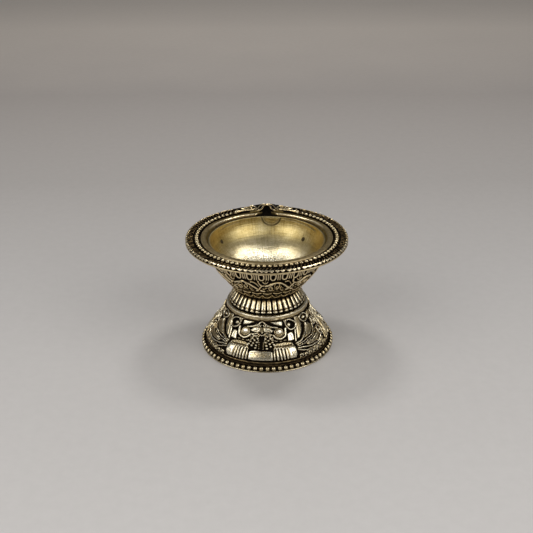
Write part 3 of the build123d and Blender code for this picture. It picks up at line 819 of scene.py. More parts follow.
# (half width, y) of the wick channel
CHANNEL = np.array([(4.4, 23.3), (3.3, 24.2), (2.1, 25.1), (1.35, 26.4), (1, 28), (.65, 30),
                    (.3, 31.8)])
SPOUT_SWELL, SPOUT_SWELL_ANGLE = 2.43, radians(20)
LIP_RADIUS, LIP_HALF_WIDTH = 24.85, 1.1
LEAF_RIBS = 132
CAVITY_RADIUS, CAVITY_DEPTH, CAVITY_Z = 23.21, 15.42, 45.17
BOWL_HOLE = 4.04
SEAM_RADIUS, SEAM_Z = 23.28, 45.3
BOWL_FOOT_Z = 25.41
# Ridges on the right half of the spout: half width, top, reach of the groove, groove's
# floor, then (x, y) points.
SPOUT_RIDGES = [
    # scroll: a long tail along the lip band that curls into an oval volute
    (.4, 46.8, .4, 46.12, [
        (14.6, 22.9), (13, 24.3), (11.2, 25.6), (9.2, 26.3), (7, 26.75), (5.2, 27.5),
        (4.5, 28.7), (4.7, 30), (6, 31.1), (8, 31.35), (9.9, 30.7), (10.8, 29.5),
        (10.4, 28.3), (9, 27.6), (7.5, 27.7)]),
    (.28, 46.66, .24, 46.12, [
        (9.3, 29.5), (8.3, 30.15), (6.9, 30), (6, 29.2), (6.3, 28.5), (7.3, 28.4)]),
    # leaf outside the volute
    (.28, 46.62, .3, 46.12, [(12.7, 28.2), (12, 26.9), (13, 25.7)]),
    # inner ridge of the channel, joined round the tip, and its parallel outer ridge
    (.42, 46.93, .22, 46.0, [
        (6.6, 24.5), (4.9, 25.1), (3.2, 26.1), (2.15, 27.6), (1.75, 29.4), (1.4, 31),
        (.8, 32.1), (0, 32.5)]),
    (.3, 46.72, .34, 46.05, [
        (4.6, 27.3), (3.6, 28.9), (3.15, 30.6), (2.5, 32.1), (1.4, 33.1), (0, 33.45)]),
]
LOOP_PITCH = 360 / 32
LOOPS = [
    ("line", [(-2.35, 41.6), (-2.45, 40.2), (-2.4, 38.9), (-1.5, 38.05), (0, 37.8),
              (1.5, 38.05), (2.4, 38.9), (2.45, 40.2), (2.35, 41.6)], .36, .12, 0),
    ("line", [(-4.55, 41.6), (-4.6, 39.6), (-4.6, 38)], .3, .06, 0),
    ("line", [(4.55, 41.6), (4.6, 39.6), (4.6, 38)], .3, .06, 0),
    ("sink", [(-1.35, 40.1), (-1.5, 39.3), (-1.25, 38.5), (0, 38.2), (1.25, 38.5),
              (1.5, 39.3), (1.35, 40.1), (0, 40.35)], -.66, .2),
    ("line", [(-2.35, 40.5), (0, 40.75), (2.35, 40.5)], .34, .1, 0),
]
VINE_PITCH = 36
VINE = [
    # main stem, running from one wave into the next, and its branch
    ("line", [(-12.5, 31.3), (-9.6, 32), (-7.2, 33.6), (-4.6, 34.4), (-1.8, 34.3), (1.5, 34.8),
              (5, 35.7), (9.5, 36.25), (14, 35.9), (18.5, 34.7), (23, 33.1), (27.5, 31.8),
              (32, 30.9)], .42, .22, .26),
    ("line", [(-8.8, 37.4), (-8.6, 36.4), (-7.6, 35.4), (-5.6, 34.7), (-3.2, 34.5)],
     .36, .2, .24),
    # curls and berries under the arch
    ("line", [(6, 35.2), (3.2, 34.2), (1.8, 33.1), (2.8, 32), (5, 31.8), (6.4, 32.5),
              (5.8, 33.3), (4.4, 33.2)], .28, .17, .24),
    ("line", [(12.8, 35.4), (13.6, 34.2), (13, 33), (11.4, 32.5), (10.4, 33.2), (11.2, 34)],
     .28, .17, .24),
    ("line", [(8.6, 35.8), (8.2, 34.6), (8.8, 33.4), (9.4, 32.2)], .24, .04, .15),
    ("dome", (4.2, 33.5), .42, .36, .1),
    ("dome", (12, 31.6), .75, .34, .04, -15),
    ("dome", (7.6, 31.3), .8, .3, .02, 10),
    ("dome", (-1, 32.9), .85, .42, .06, 30),
    ("dome", (-4.2, 32.3), .55, .85, .06, 20),
    ("dome", (1, 31.2), .7, .32, 0, -10),
    ("line", [(15.8, 33.6), (15.6, 32.3), (17.2, 31.3), (19.6, 31.2)], .26, .04, .18),
    ("dome", (18, 32.5), .5, .32, .04, -30),
    # thin leaves over the stem
    ("line", [(18.6, 36.4), (21.6, 36.5), (24.6, 35.6), (26.8, 34.2)], .24, .1, .2),
    ("line", [(-4.2, 36.9), (-2.4, 35.9), (-.2, 36), (1.2, 36.9)], .26, .08, .16),
    ("dome", (-1.4, 37), .4, .3, .06),
]
SCALLOPS = 26
SCALLOP_PITCH = 360 / SCALLOPS
SCALLOP = [
    ("line", [(-5.3, 29.45), (0, 29), (5.3, 29.45)], .38, .12, 0),
    ("line", [(-6.7, 27.9), (-4.6, 26.9), (0, 26.35), (4.6, 26.9), (6.7, 27.9)], .3, .1, .1),
    ("dome", (0, 27.75), .95, .48, -.02),
    ("dome", (SCALLOP_PITCH / 2, 26.2), .42, .4, .04),
    ("line", [(-4.4, 28.2), (0, 28.25), (4.4, 28.2)], .15, -.1, 0),
]


def rim_notches(theta):
    """0 to 1 round the rim: ninety-six uneven tongues hang over its outer edge."""
    return np.sin(48 * theta + .55 * np.sin(theta * 7) + .4 * np.sin(theta * 15 + 1)
                  + .25 * np.sin(theta * 31 + 2)) ** 2


def channel_half_width(y):
    return np.interp(y, CHANNEL[:, 1], CHANNEL[:, 0])


def rim_bands(radius, theta, turn):
    """Height of the rim away from the spout: leaf ribs, bead seat and lip band."""
    # outer band of oblique leaf ribs
    phase = (LEAF_RIBS * theta / (2 * pi) + (radius - 30.2) * .34
             + .16 * np.sin(theta * 11) + .12 * np.sin(theta * 29 + 2))
    rib = .66 * smooth(.3, .8, np.abs((phase % 1) * 2 - 1)) - .28
    swing = wave_noise(theta, radius, 52, [(13, 1), (29, 2.1), (47, -1.4), (71, 1.9)], .06)
    z = 45.88 + (rib + swing) * smooth(28.5, 29.2, radius)
    # the ribs end in a raised, uneven outer edge
    edge = 46.45 - .62 * smooth(.4, .95, rim_notches(theta)) * smooth(30.9, 31.5, radius)
    z = mix(z, edge, smooth(30.85, 31.25, radius))
    z = mix(z, 45.08, smooth(28.66, 28.52, radius))       # bead seat
    # rounded lip band, lower towards the spout, where it runs into the scrollwork
    low = smooth(radians(78), radians(34), np.abs(turn))
    band = 45.78 + (1.08 - .66 * low) * bulge((radius - LIP_RADIUS) / LIP_HALF_WIDTH)
    band = band + wave_noise(theta, radius, 53, [(3, .5), (8, 1.1), (17, -1)], .02)
    z = mix(z, 45.42, smooth(26.6, 26.5, radius))         # groove outside the band
    z = np.where(np.abs(radius - LIP_RADIUS) < LIP_HALF_WIDTH, np.maximum(band, 45.45), z)
    inner = LIP_RADIUS - LIP_HALF_WIDTH
    return np.where(radius < inner, 45.82 - (inner - radius) * .9, z)


def rim_top(x, y, radius, theta):
    """Height of the rim's upper face; radius is the one before the spout's swell."""
    turn = signed(theta - pi)
    z = rim_bands(radius, theta, turn)
    # flat plate of the spout, with a plain raised border
    plate = 46.2 + wave_noise(theta, radius * 2, 54, [(17, 1), (37, 2), (61, -2)], .03)
    plate = mix(plate, 46.3, smooth(30.9, 31.35, radius))
    on_spout = smooth(radians(26.5), radians(21.5), np.abs(turn))
    z = np.where(radius > 26, mix(z, plate, on_spout), z)

    carved = z.copy()
    for side in (-1, 1):
        for width, top, groove, low, points in SPOUT_RIDGES:
            path = spline(np.multiply(points, (side, 1)), 6)
            away = path_distance(x, y, path)
            share = smooth(width + groove, width, away)
            carved = np.minimum(carved, carved + (low - carved) * share)
            ridge = low + (top - low) * bulge(np.clip(away / width, 0, 1), 2.4)
            carved = np.where(away < width, np.maximum(carved, ridge), carved)
        # dot in the eye of the volute
        away = np.hypot(x - side * 7.9, (y - 29.15) / .85)
        dot = 46.15 + .5 * bulge(away / .5)
        carved = np.where(away < .5, np.maximum(carved, dot), carved)
    z = np.where(np.abs(turn) < radians(34), carved, z)

    # wick channel cut down between the ridges, open to the cup
    beyond = np.abs(x) - channel_half_width(y)
    share = smooth(.22, -.05, beyond) * smooth(31.95, 31.5, y)
    floor_z = 45.05 + .02 * np.sin(x * 9) * np.cos(y * 7)
    inside = (y > 0) & (beyond < .25) & (y < 31.9)
    return np.minimum(np.where(inside, mix(z, floor_z, share), z), 46.93)


def repeated_band(cut, rows, theta, marks, pitch, centre, origin, ground, warp, seed):
    """Marks repeated every pitch degrees; origin is their zero, measured within a repeat."""
    fold = np.radians((np.degrees(theta) - centre + origin) % pitch)
    relief = Relief(cut, rows, fold, ground, warp, seed)
    for shift in (-pitch, 0, pitch):
        relief.draw(marks, shift + origin)
    return relief.height


def wall_relief(cut, theta):
    rows, _, z = cut.part("wall")
    level = z[:, 0]
    height = np.zeros((len(rows), theta.size))
    # round-ended loops standing side by side under the rim
    part = level >= 37.55
    band_z = z[part]
    band = repeated_band(cut, rows[part], theta, LOOPS, LOOP_PITCH, -5.4, LOOP_PITCH / 2,
                         ground=-.34, warp=.06, seed=31)
    band = mix(band, .06, smooth(40.45, 40.8, band_z))
    height[part] = band - .1 * between(band_z, 41.85, 41.95, 42.15, 42.3)
    # running vine, over a thin ridge
    part = (level >= 30.05) & (level < 37.75)
    band_z = z[part]
    band = repeated_band(cut, rows[part], theta, VINE, VINE_PITCH, 0, 10,
                         ground=-.5, warp=.13, seed=33)
    band = mix(band, -.42, smooth(30.75, 30.35, band_z))
    height[part] = band + .4 * hump(band_z, 30.42 + .05 * np.sin(theta * 13), .13)
    # row of dashes and the scalloped foot
    part = level < 30.05
    band_z = z[part]
    band = repeated_band(cut, rows[part], theta, SCALLOP, SCALLOP_PITCH, 0, SCALLOP_PITCH / 2,
                         ground=-.4, warp=.1, seed=35)
    wobble = (.1 * np.cos(theta * SCALLOPS)
              + wave_noise(theta, band_z, 36, [(19, 1), (41, 2)], .03))
    height[part] = mix(band, -.06 + wobble, smooth(26.1, 25.75, band_z))
    height += wave_noise(theta, z, 37, [(37, 1.9), (59, -2.3), (91, 3.1), (131, 2)], .012)
    return height * smooth(43.5, 42.9, z)


def bowl_cut():
    cut = Cut()
    cut.line("recess", [(BOWL_HOLE, 25.8), (11.48, 25.8), (11.5, 25.5), (11.62, BOWL_FOOT_Z)], .6)
    cut.line("foot", [(11.62, BOWL_FOOT_Z), (12.95, BOWL_FOOT_Z)], .3)
    cut.curve("wall", [(12.95, BOWL_FOOT_Z), (14.3, 26.45), (17, 29.8), (20, 33.8), (22.4, 37.6),
                       (24, 41.2), (25, 43.5)], .145)
    cut.curve("under", [(25, 43.5), (25.45, 43.85), (26.2, 44.15), (28.5, 44.38),
                        (31.2, 44.6)], .22)
    cut.curve("edge", [(31.2, 44.6), (31.75, 44.7), (31.97, 44.95), (31.98, 45.4), (31.98, 46),
                       (31.86, 46.3), (31.6, 46.45)], .09)
    cut.line("top", [(31.6, 46.45), (SEAM_RADIUS, SEAM_Z)], .115)
    cut.line("seam", [(SEAM_RADIUS, SEAM_Z), (CAVITY_RADIUS, CAVITY_Z)], .1)
    ellipse = [(CAVITY_RADIUS * cos(a), CAVITY_Z - CAVITY_DEPTH * sin(a))
               for a in np.linspace(0, acos(BOWL_HOLE / CAVITY_RADIUS), 26)]
    cut.line("cavity", ellipse, 1.1)
    cut.line("bore", [ellipse[-1], (BOWL_HOLE, 25.8)], .7)
    cut.finish()
    return cut


def press_keel(cut, grid):
    """Pulls the wall and the rim's underside out to the keel line under the spout."""
    wall, _, z = cut.part("wall")
    rows = np.r_[wall[z[:, 0] >= KEEL[0, 1]], cut.rows("under")]
    along = run_length(np.hstack([cut.radius[rows], cut.z[rows]]))
    along = (along / along[-1])[:, None]
    keel_along = run_length(KEEL)
    keel_along /= keel_along[-1]
    keel_y, keel_z = (np.interp(along, keel_along, axis) for axis in KEEL.T)
    x, y, z = np.moveaxis(grid[rows], -1, 0)
    share = smooth(2.9, 1.9, np.abs(x)) * (y > 0) * between(along, 0, .06, .96, 1)
    radius = np.hypot(x, y)
    scale = mix(radius, keel_y, share) / radius
    grid[rows] = np.stack([x * scale, y * scale, mix(z, keel_z, share)], -1)


def make_bowl(columns):
    theta = around(columns)
    turn = signed(theta - pi)
    cut = bowl_cut()
    height = np.zeros((len(cut.z), columns))
    wall, _, wall_z = cut.part("wall")
    height[wall] = wall_relief(cut, theta)
    # gaps between the tongues round the rim's edge
    edge, _, edge_z = cut.part("edge")
    notches = rim_notches(theta)
    reach = 1 + wave_noise(theta, edge_z, 57, [(9, .3), (22, .4), (37, .2)], .35)
    gap_top = 45.5 + .85 * notches * np.clip(reach, .5, 1.3)
    gap = smooth(.1, -.08, edge_z - gap_top) * smooth(45.28, 45.48, edge_z)
    rough = wave_noise(theta, edge_z * 2, 56, [(23, 1.5), (51, 2.5), (77, -2), (7, .5)], .025)
    height[edge] = np.minimum(-.04 - .46 * gap + rough, 0)
    grid = cut.surface(theta, height)

    # the spout swells out of the rim
    rim = cut.rows("under", "edge", "top")
    weight = np.zeros_like(cut.radius)
    weight[rim] = smooth(26.6, 31.2, cut.radius[rim])
    nearness = np.clip(np.abs(turn) / SPOUT_SWELL_ANGLE, 0, 1)
    swell = SPOUT_SWELL * (0.5 * (1 + np.cos(pi * nearness))) ** 1.25
    swollen = np.hypot(grid[..., 0], grid[..., 1]) + swell * weight
    grid[..., 0], grid[..., 1] = swollen * np.sin(theta), -swollen * np.cos(theta)
    top, radius, _ = cut.part("top")
    x, y = grid[top, :, 0], grid[top, :, 1]
    z = mix(grid[edge[-1], :, 2], rim_top(x, y, radius, theta), smooth(31.6, 31.2, radius))
    z = mix(SEAM_Z, z, smooth(SEAM_RADIUS, 23.5, radius))
    grid[top, :, 2] = z
    press_keel(cut, grid)

    # masks on the rim's upper face
    spout = (y > 0) & (np.abs(turn) < radians(27))
    plate = spout & (radius > 26)
    channel = (y > 0) & (np.abs(x) < channel_half_width(y) + .1) & (z < 46.2)
    leaf = between(radius, 28.5, 28.8, 31, 31.3) * ~spout
    crest = smooth(46.1, 46.27, z)
    # back marks the rim towards the spout, where the lip band gets a painted highlight on its
    # inner edge and painted shade on its outer half
    back = smooth(radians(75), radians(52), np.abs(turn))

    worn = np.full_like(height, .8)
    worn[wall] = 1.05 * smooth(-.26, .12, height[wall])
    worn[edge] = smooth(-.26, -.06, height[edge]) * (.72 + .28 * smooth(45.4, 45.9, edge_z))
    worn_top = np.where(leaf > .5, .56 * crest, .85)
    worn_top = np.where(plate, .85 * smooth(46.34, 46.56, z), worn_top)
    worn[top] = np.where(channel, 0, worn_top)

    deep = np.zeros_like(height)
    deep[cut.rows("recess", "cavity", "seam", "bore")] = 1
    deep[cut.rows("under")] = .35
    deep[edge] = .55 * gap
    deep[wall] = .26 * smooth(31.5, 28, wall_z) + .06 + .75 * smooth(-.17, -.34, height[wall])
    deep_top = (between(radius, 26.45, 26.6, 28.5, 28.66) * ~spout       # bead seat
                + hump(radius, 26.2, .3) * ~spout
                + smooth(23.86, 23.42, radius)
                + channel
                + leaf * (.98 - .66 * crest)
                + .98 * plate * smooth(46.54, 46.34, z)
                + .62 * smooth(.5, .9, notches) * smooth(30.9, 31.35, radius) * ~spout)
    # at the back the dark line inside the lip band is left out for the painted highlight, and the
    # band's outer half gets painted shade
    deep_top = np.maximum(np.clip(deep_top, 0, 1), smooth(23.62, 23.3, radius) * (1 - back))
    deep[top] = np.maximum(deep_top, .62 * back * between(radius, 24.5, 24.9, 25.7, 26.1))

    plain = np.zeros_like(height)
    # matt tan on the lip band, except its inner edge at the back, left bright metal as a painted
    # highlight
    plain[top] = (smooth(26, 25.6, radius) * ~channel
                  * (1 - .95 * back * smooth(24.4, 24, radius)))
    plain[edge] = .25 * smooth(45.45, 45.2, edge_z)
    return add_grid("bowl_casting", grid, passes=(5, 30),
                    deep=np.clip(blur(deep, 1), 0, 1), plain=plain, rel=worn)


# ------------------------------------------------------------------ oil cup
CUP_Z = 45.18                                # centre of the cup's two ellipses
CUP_OUTER_RADIUS, CUP_OUTER_DEPTH = 23.14, 15.38
CUP_RADIUS, CUP_DEPTH = 22.45, 14.7          # inside
PINS = ((241, 39.58), (133, 38.78))          # angle in degrees, z
# Slipped tool steps below the lip, a long one at the back right and a short one at the back
# left: degrees from the back where they start and end, z at both, depth.
TOOL_STEPS = ((-66, -13, 43.15, 44.35, .26), (24, 60, 44, 43.35, .16))


def ellipse_radius(radius, depth, z, centre=CUP_Z):
    return radius * bulge((centre - z) / depth)


def cup_cut():
    cut = Cut()
    z = CUP_Z - CUP_OUTER_DEPTH * np.sin(np.linspace(radians(88.5), 0, 22))
    outer = np.stack([ellipse_radius(CUP_OUTER_RADIUS, CUP_OUTER_DEPTH, z), z], 1)
    cut.line("outer", outer, 2)
    cut.line("lip", [(CUP_OUTER_RADIUS, CUP_Z), (22.98, 45.19), (22.6, 45.19),
                     (22.46, 45.12)], .12)
    # closer rows at the tool steps and the pins
    z = np.r_[np.arange(45.1, 42.0, -.13), np.arange(42.0, 40.5, -.3),
              np.arange(40.5, 37.9, -.14), np.arange(37.9, 31.2, -.28)]
    upper = np.stack([ellipse_radius(CUP_RADIUS, CUP_DEPTH, z), z], 1)
    a = np.linspace(asin(upper[-1][0] / CUP_RADIUS), .03, 34)[1:]
    lower = np.stack([CUP_RADIUS * np.sin(a), CUP_Z - CUP_DEPTH * np.cos(a)], 1)
    cut.points("inner", np.vstack([upper, lower]))
    cut.finish(closed=False)
    return cut


def make_cup(columns):
    theta = around(columns)
    cut = cup_cut()
    rows, radius, z = cut.part("inner")
    # faint turning rings and flats from hand finishing
    inner = (wave_noise(theta, z, 61, [(2, .5), (3, -.8), (5, 1.1), (9, .7)], .035)
             * smooth(2, 9, radius))
    inner += (.008 * np.sin(z * 7 + np.sin(theta * 2))
              + .006 * np.sin(z * 13 + 1.4 * np.sin(theta * 3 + 1)))
    stain = np.zeros_like(inner)
    turn = np.degrees(signed(theta - pi))
    for start, end, start_z, end_z, depth in TOOL_STEPS:
        part = np.clip((turn - start) / (end - start), 0, 1)
        on = between(turn, start, start + 9, end - 9, end)
        above = z - (start_z + (end_z - start_z) * part + .35 * np.sin(pi * part))
        inner -= depth * on * between(above, 0, .14, .18, .95)
        stain = np.maximum(stain, .85 * on * hump(above, .1, .13))
    for angle, pin_z in PINS:
        pin_radius = ellipse_radius(CUP_RADIUS, CUP_DEPTH, pin_z)
        away = np.hypot(pin_radius * signed(theta - radians(angle)), (z - pin_z) * 1.1)
        inner -= .22 * smooth(.9, .52, away)
        stain = np.maximum(stain, smooth(1.02, .68, away))
    # dark line round the half-round tab at the back
    x, y = radius * np.sin(theta), -radius * np.cos(theta)
    outline = np.hypot((x - TAB_X) / 3.86, (z - TAB_Z) / 3.34)
    stain = np.maximum(stain, np.exp(-((outline - 1) / .07) ** 4) * (y > 0))

    height = np.zeros((len(cut.z), columns))
    height[rows] = inner
    deep = np.zeros_like(height)
    deep[cut.rows("outer")] = .6
    deep[rows] = stain
    rows, radius, _ = cut.part("lip")
    deep[rows] = np.maximum(.15, .95 * smooth(22.55, 22.75, radius))
    return add_grid("oil_cup_liner", cut.surface(theta, height), passes=(5, 20),
                    closed=False, deep=deep)


# ------------------------------------------------------------------ wick rest
TAB_X, TAB_Z = 1.8, 44.98                    # middle of the tab's straight top edge
TAB_HALF_WIDTH, TAB_DROP = 3.66, 3.1


def make_rest():
    """Half-round tab that follows the cup's wall, with a lump of solder at its top."""
    spokes, rings = ((84, 26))
    bm = bmesh.new()
    layer = bm.verts.layers.float.new("deep")

    def wall_vertex(x, z, inset, wall_inset, deep):
        """Vertex in front of the wall by wall_inset, shrinking the cup's ellipse."""
        radius = ellipse_radius(CUP_RADIUS - wall_inset, CUP_DEPTH - wall_inset, z, 45.2)
        vertex = bm.verts.new((x * MM, sqrt(max(0, radius * radius - x * x)) * MM, z * MM))
        vertex[layer] = deep
        return vertex

    def add_point(a, reach):
        """Front and back vertices at an angle and a 0 to 1 reach from the middle."""
        spread = reach * (1 + .018 * sin(5 * a + 1) + .012 * sin(11 * a)) * .985
        x = TAB_X + TAB_HALF_WIDTH * cos(a) * spread
        z = TAB_Z - TAB_DROP * sin(a) * spread
        # pressed groove just inside the edge, and the solder lump
        thick = .08 + .42 * bulge(reach, 6) - .13 * hump(reach, .8, .07)
        from_lump = x - 1.75
        lump = max(0.0, 1 - (from_lump / 1.15) ** 2 - ((z - 44.75) / .62) ** 2)
        thick = min(thick + .27 * sqrt(lump) * (1 + .25 * sin(4.1 * from_lump + 2)), .74)
        deep = np.clip(smooth(.86, .99, reach) + .75 * hump(reach, .8, .06), 0, 1)
        return (wall_vertex(x, z, None, .03 + thick, 0.0 if lump > .02 else float(deep)),
                wall_vertex(x, z, None, .035, 1.0))

    front, back = [], []
    for i in range(spokes + 1):
        pairs = [add_point(pi * i / spokes, sin(.5 * pi * j / rings)) for j in range(rings + 1)]
        front.append([pair[0] for pair in pairs])
        back.append([pair[1] for pair in pairs])
    for i in range(spokes):
        for j in range(rings):
            bm.faces.new((front[i][j], front[i][j + 1], front[i + 1][j + 1], front[i + 1][j]))
            bm.faces.new((back[i][j], back[i + 1][j], back[i + 1][j + 1], back[i][j + 1]))
        bm.faces.new((front[i][rings], back[i][rings], back[i + 1][rings], front[i + 1][rings]))
    # flat top edge, from one end of the half round to the other
    for i in (0, spokes):
        for j in range(rings):
            bm.faces.new((front[i][j], back[i][j], back[i][j + 1], front[i][j + 1]))
    bmesh.ops.remove_doubles(bm, verts=bm.verts, dist=1e-7)
    bmesh.ops.dissolve_degenerate(bm, edges=bm.edges, dist=1e-8)
    bmesh.ops.recalc_face_normals(bm, faces=bm.faces)
    mesh = bpy.data.meshes.new("wick_rest_tab")
    bm.to_mesh(mesh)
    bm.free()
    return add_smooth("wick_rest_tab", mesh)


# ------------------------------------------------------------------ materials
class Nodes:
    """A material and short calls for its shader nodes, each returning an output socket."""

    def __init__(self, name):
        self.material = bpy.data.materials.new(name)
        self.material.use_nodes = True
        self.tree = self.material.node_tree
        self.tree.nodes.clear()
        self.output = self.new("ShaderNodeOutputMaterial")

    def new(self, kind, **inputs):
        node = self.tree.nodes.new(kind)
        for key, value in inputs.items():
            self.put(node.inputs[key.replace("_", " ")], value)
        return node

    def put(self, socket, value):
        if isinstance(value, bpy.types.NodeSocket):
            self.tree.links.new(value, socket)
        else:
            socket.default_value = value

    def math(self, operation, *values, clamp=False):
        node = self.new("ShaderNodeMath")
        node.operation = operation
        node.use_clamp = clamp
        for socket, value in zip(node.inputs, values):
            self.put(socket, value)
        return node.outputs[0]

    def add(self, first, second, clamp=False):
        return self.math("ADD", first, second, clamp=clamp)

    def scale(self, value, factor):
        return self.math("MULTIPLY", value, factor)

    def invert(self, value):
        return self.math("SUBTRACT", 1.0, value)

    def plus(self, total, value, weight, clamp=False):
        """total + value * weight"""
        return self.add(total, self.scale(value, weight), clamp)

    def vary(self, total, noise, amount):
        """total + (noise - 0.5) * amount"""
        return self.plus(total, self.math("SUBTRACT", noise, .5), amount)

    def attribute(self, name):
        node = self.new("ShaderNodeAttribute")
        node.attribute_name = name
        return node.outputs["Fac"]

    def ramp(self, factor, stops):
        node = self.new("ShaderNodeValToRGB")
        elements = node.color_ramp.elements
        while len(elements) < len(stops):
            elements.new(.5)
        for element, (position, color) in zip(elements, stops):
            element.position = position
            element.color = (*color, 1)
        self.put(node.inputs[0], factor)
        return node.outputs[0]

    def remap(self, value, source, target=(0.0, 1.0)):
        node = self.new("ShaderNodeMapRange")
        node.clamp = True
        for socket, number in zip(node.inputs, (value, *source, *target)):
            self.put(socket, number)
        return node.outputs[0]

    def noise(self, vector, scale, detail, roughness=.55):
        return self.new("ShaderNodeTexNoise", Vector=vector, Scale=scale, Detail=detail,
                        Roughness=roughness).outputs[0]

    def mix(self, factor, first, second, blend_type="MIX"):
        node = self.new("ShaderNodeMix")
        node.data_type = "RGBA"
        node.blend_type = blend_type
        for slot, value in ((0, factor), (6, first), (7, second)):
            self.put(node.inputs[slot], (*value, 1) if isinstance(value, tuple) else value)
        return node.outputs[2]

    def coords(self):
        return self.new("ShaderNodeTexCoord").outputs["Object"]

    def separate(self, vector):
        node = self.new("ShaderNodeSeparateXYZ")
        self.put(node.inputs[0], vector)
        return node.outputs

    def bump(self, height, strength, distance, normal=None):
        node = self.new("ShaderNodeBump", Strength=strength, Distance=distance, Height=height)
        if normal is not None:
            self.put(node.inputs["Normal"], normal)
        return node.outputs[0]

    def finish(self, color, metallic, roughness, normal, specular=None):
        node = self.new("ShaderNodeBsdfPrincipled", Base_Color=color, Metallic=metallic,
                        Roughness=roughness, Normal=normal)
        if specular is not None:
            self.put(node.inputs["Specular IOR Level"], specular)
        self.tree.links.new(node.outputs[0], self.output.inputs[0])
        return self.material


def antique(name, level=0.0, plain=False, beads=False, gold=0.0):
    """Brass with black patina in the hollows and painted shade where the meshes mark it, rubbed
    bright on the heights.

    level shifts the wear, plain fades to tan where that attribute is set, beads leaves out
    the cavity attributes, and gold warms the bright tones.
    """
    nodes = Nodes(name)
    coords = nodes.coords()
    large = nodes.noise(coords, scale=160, detail=3)
    middle = nodes.noise(coords, scale=900, detail=4)
    tiny = nodes.noise(coords, scale=4200, detail=3)
    wear = nodes.scale(nodes.attribute("rel"), factor=.56)
    if beads:
        wear = nodes.add(wear, .28)      # stands in for the cavity terms
    else:
        fine = nodes.remap(nodes.attribute("fine"), source=(-.05, .035))
        broad = nodes.remap(nodes.attribute("broad"), source=(-.17, .11))
        wear = nodes.plus(wear, fine, weight=.26)
        wear = nodes.plus(wear, broad, weight=.26)
        # patina in the hollows, plus painted shade where a mesh marks it
        deep = nodes.scale(nodes.attribute("deep"), factor=.6)
        wear = nodes.math("SUBTRACT", wear, deep)
    wear = nodes.vary(wear, middle, amount=.34)
    wear = nodes.vary(wear, large, amount=.2)
    wear = nodes.vary(wear, tiny, amount=.22)
    wear = nodes.add(wear, level, clamp=True)

    def warm(red, green, blue):
        return red * (1 + .04 * gold), green * (1 - .02 * gold), blue * (1 - .14 * gold)

    brightest = warm(.88, .79, .59) if gold else (.9, .82, .62)
    color = nodes.ramp(wear, [
        (0, (.005, .004, .003)), (.36, (.011, .008, .005)), (.47, warm(.095, .062, .026)),
        (.6, warm(.31, .22, .1)), (.8, warm(.56, .45, .25)), (1, brightest)])
    metallic = nodes.remap(wear, source=(.34, .52))
    roughness = nodes.vary(nodes.remap(wear, source=(.3, .8), target=(.55, .25)),
                           tiny, amount=.22)
    specular = nodes.remap(wear, source=(.38, .6), target=(0, .5))
    if plain:
        mask = nodes.attribute("plain")
        tan = nodes.ramp(middle, [(.3, (.038, .025, .007)), (.55, (.098, .067, .021)),
                                  (.75, (.18, .126, .045))])
        color = nodes.mix(nodes.scale(mask, factor=.93), color, tan)
        metallic = nodes.scale(metallic, nodes.invert(nodes.scale(mask, factor=.72)))
        roughness = nodes.plus(roughness, mask, weight=.22)
        specular = nodes.scale(specular, nodes.invert(nodes.scale(mask, factor=.85)))
    normal = nodes.bump(middle, strength=.3, distance=.0001)
    normal = nodes.bump(tiny, strength=.25, distance=.00004, normal=normal)
    return nodes.finish(color, metallic, roughness, normal, specular)


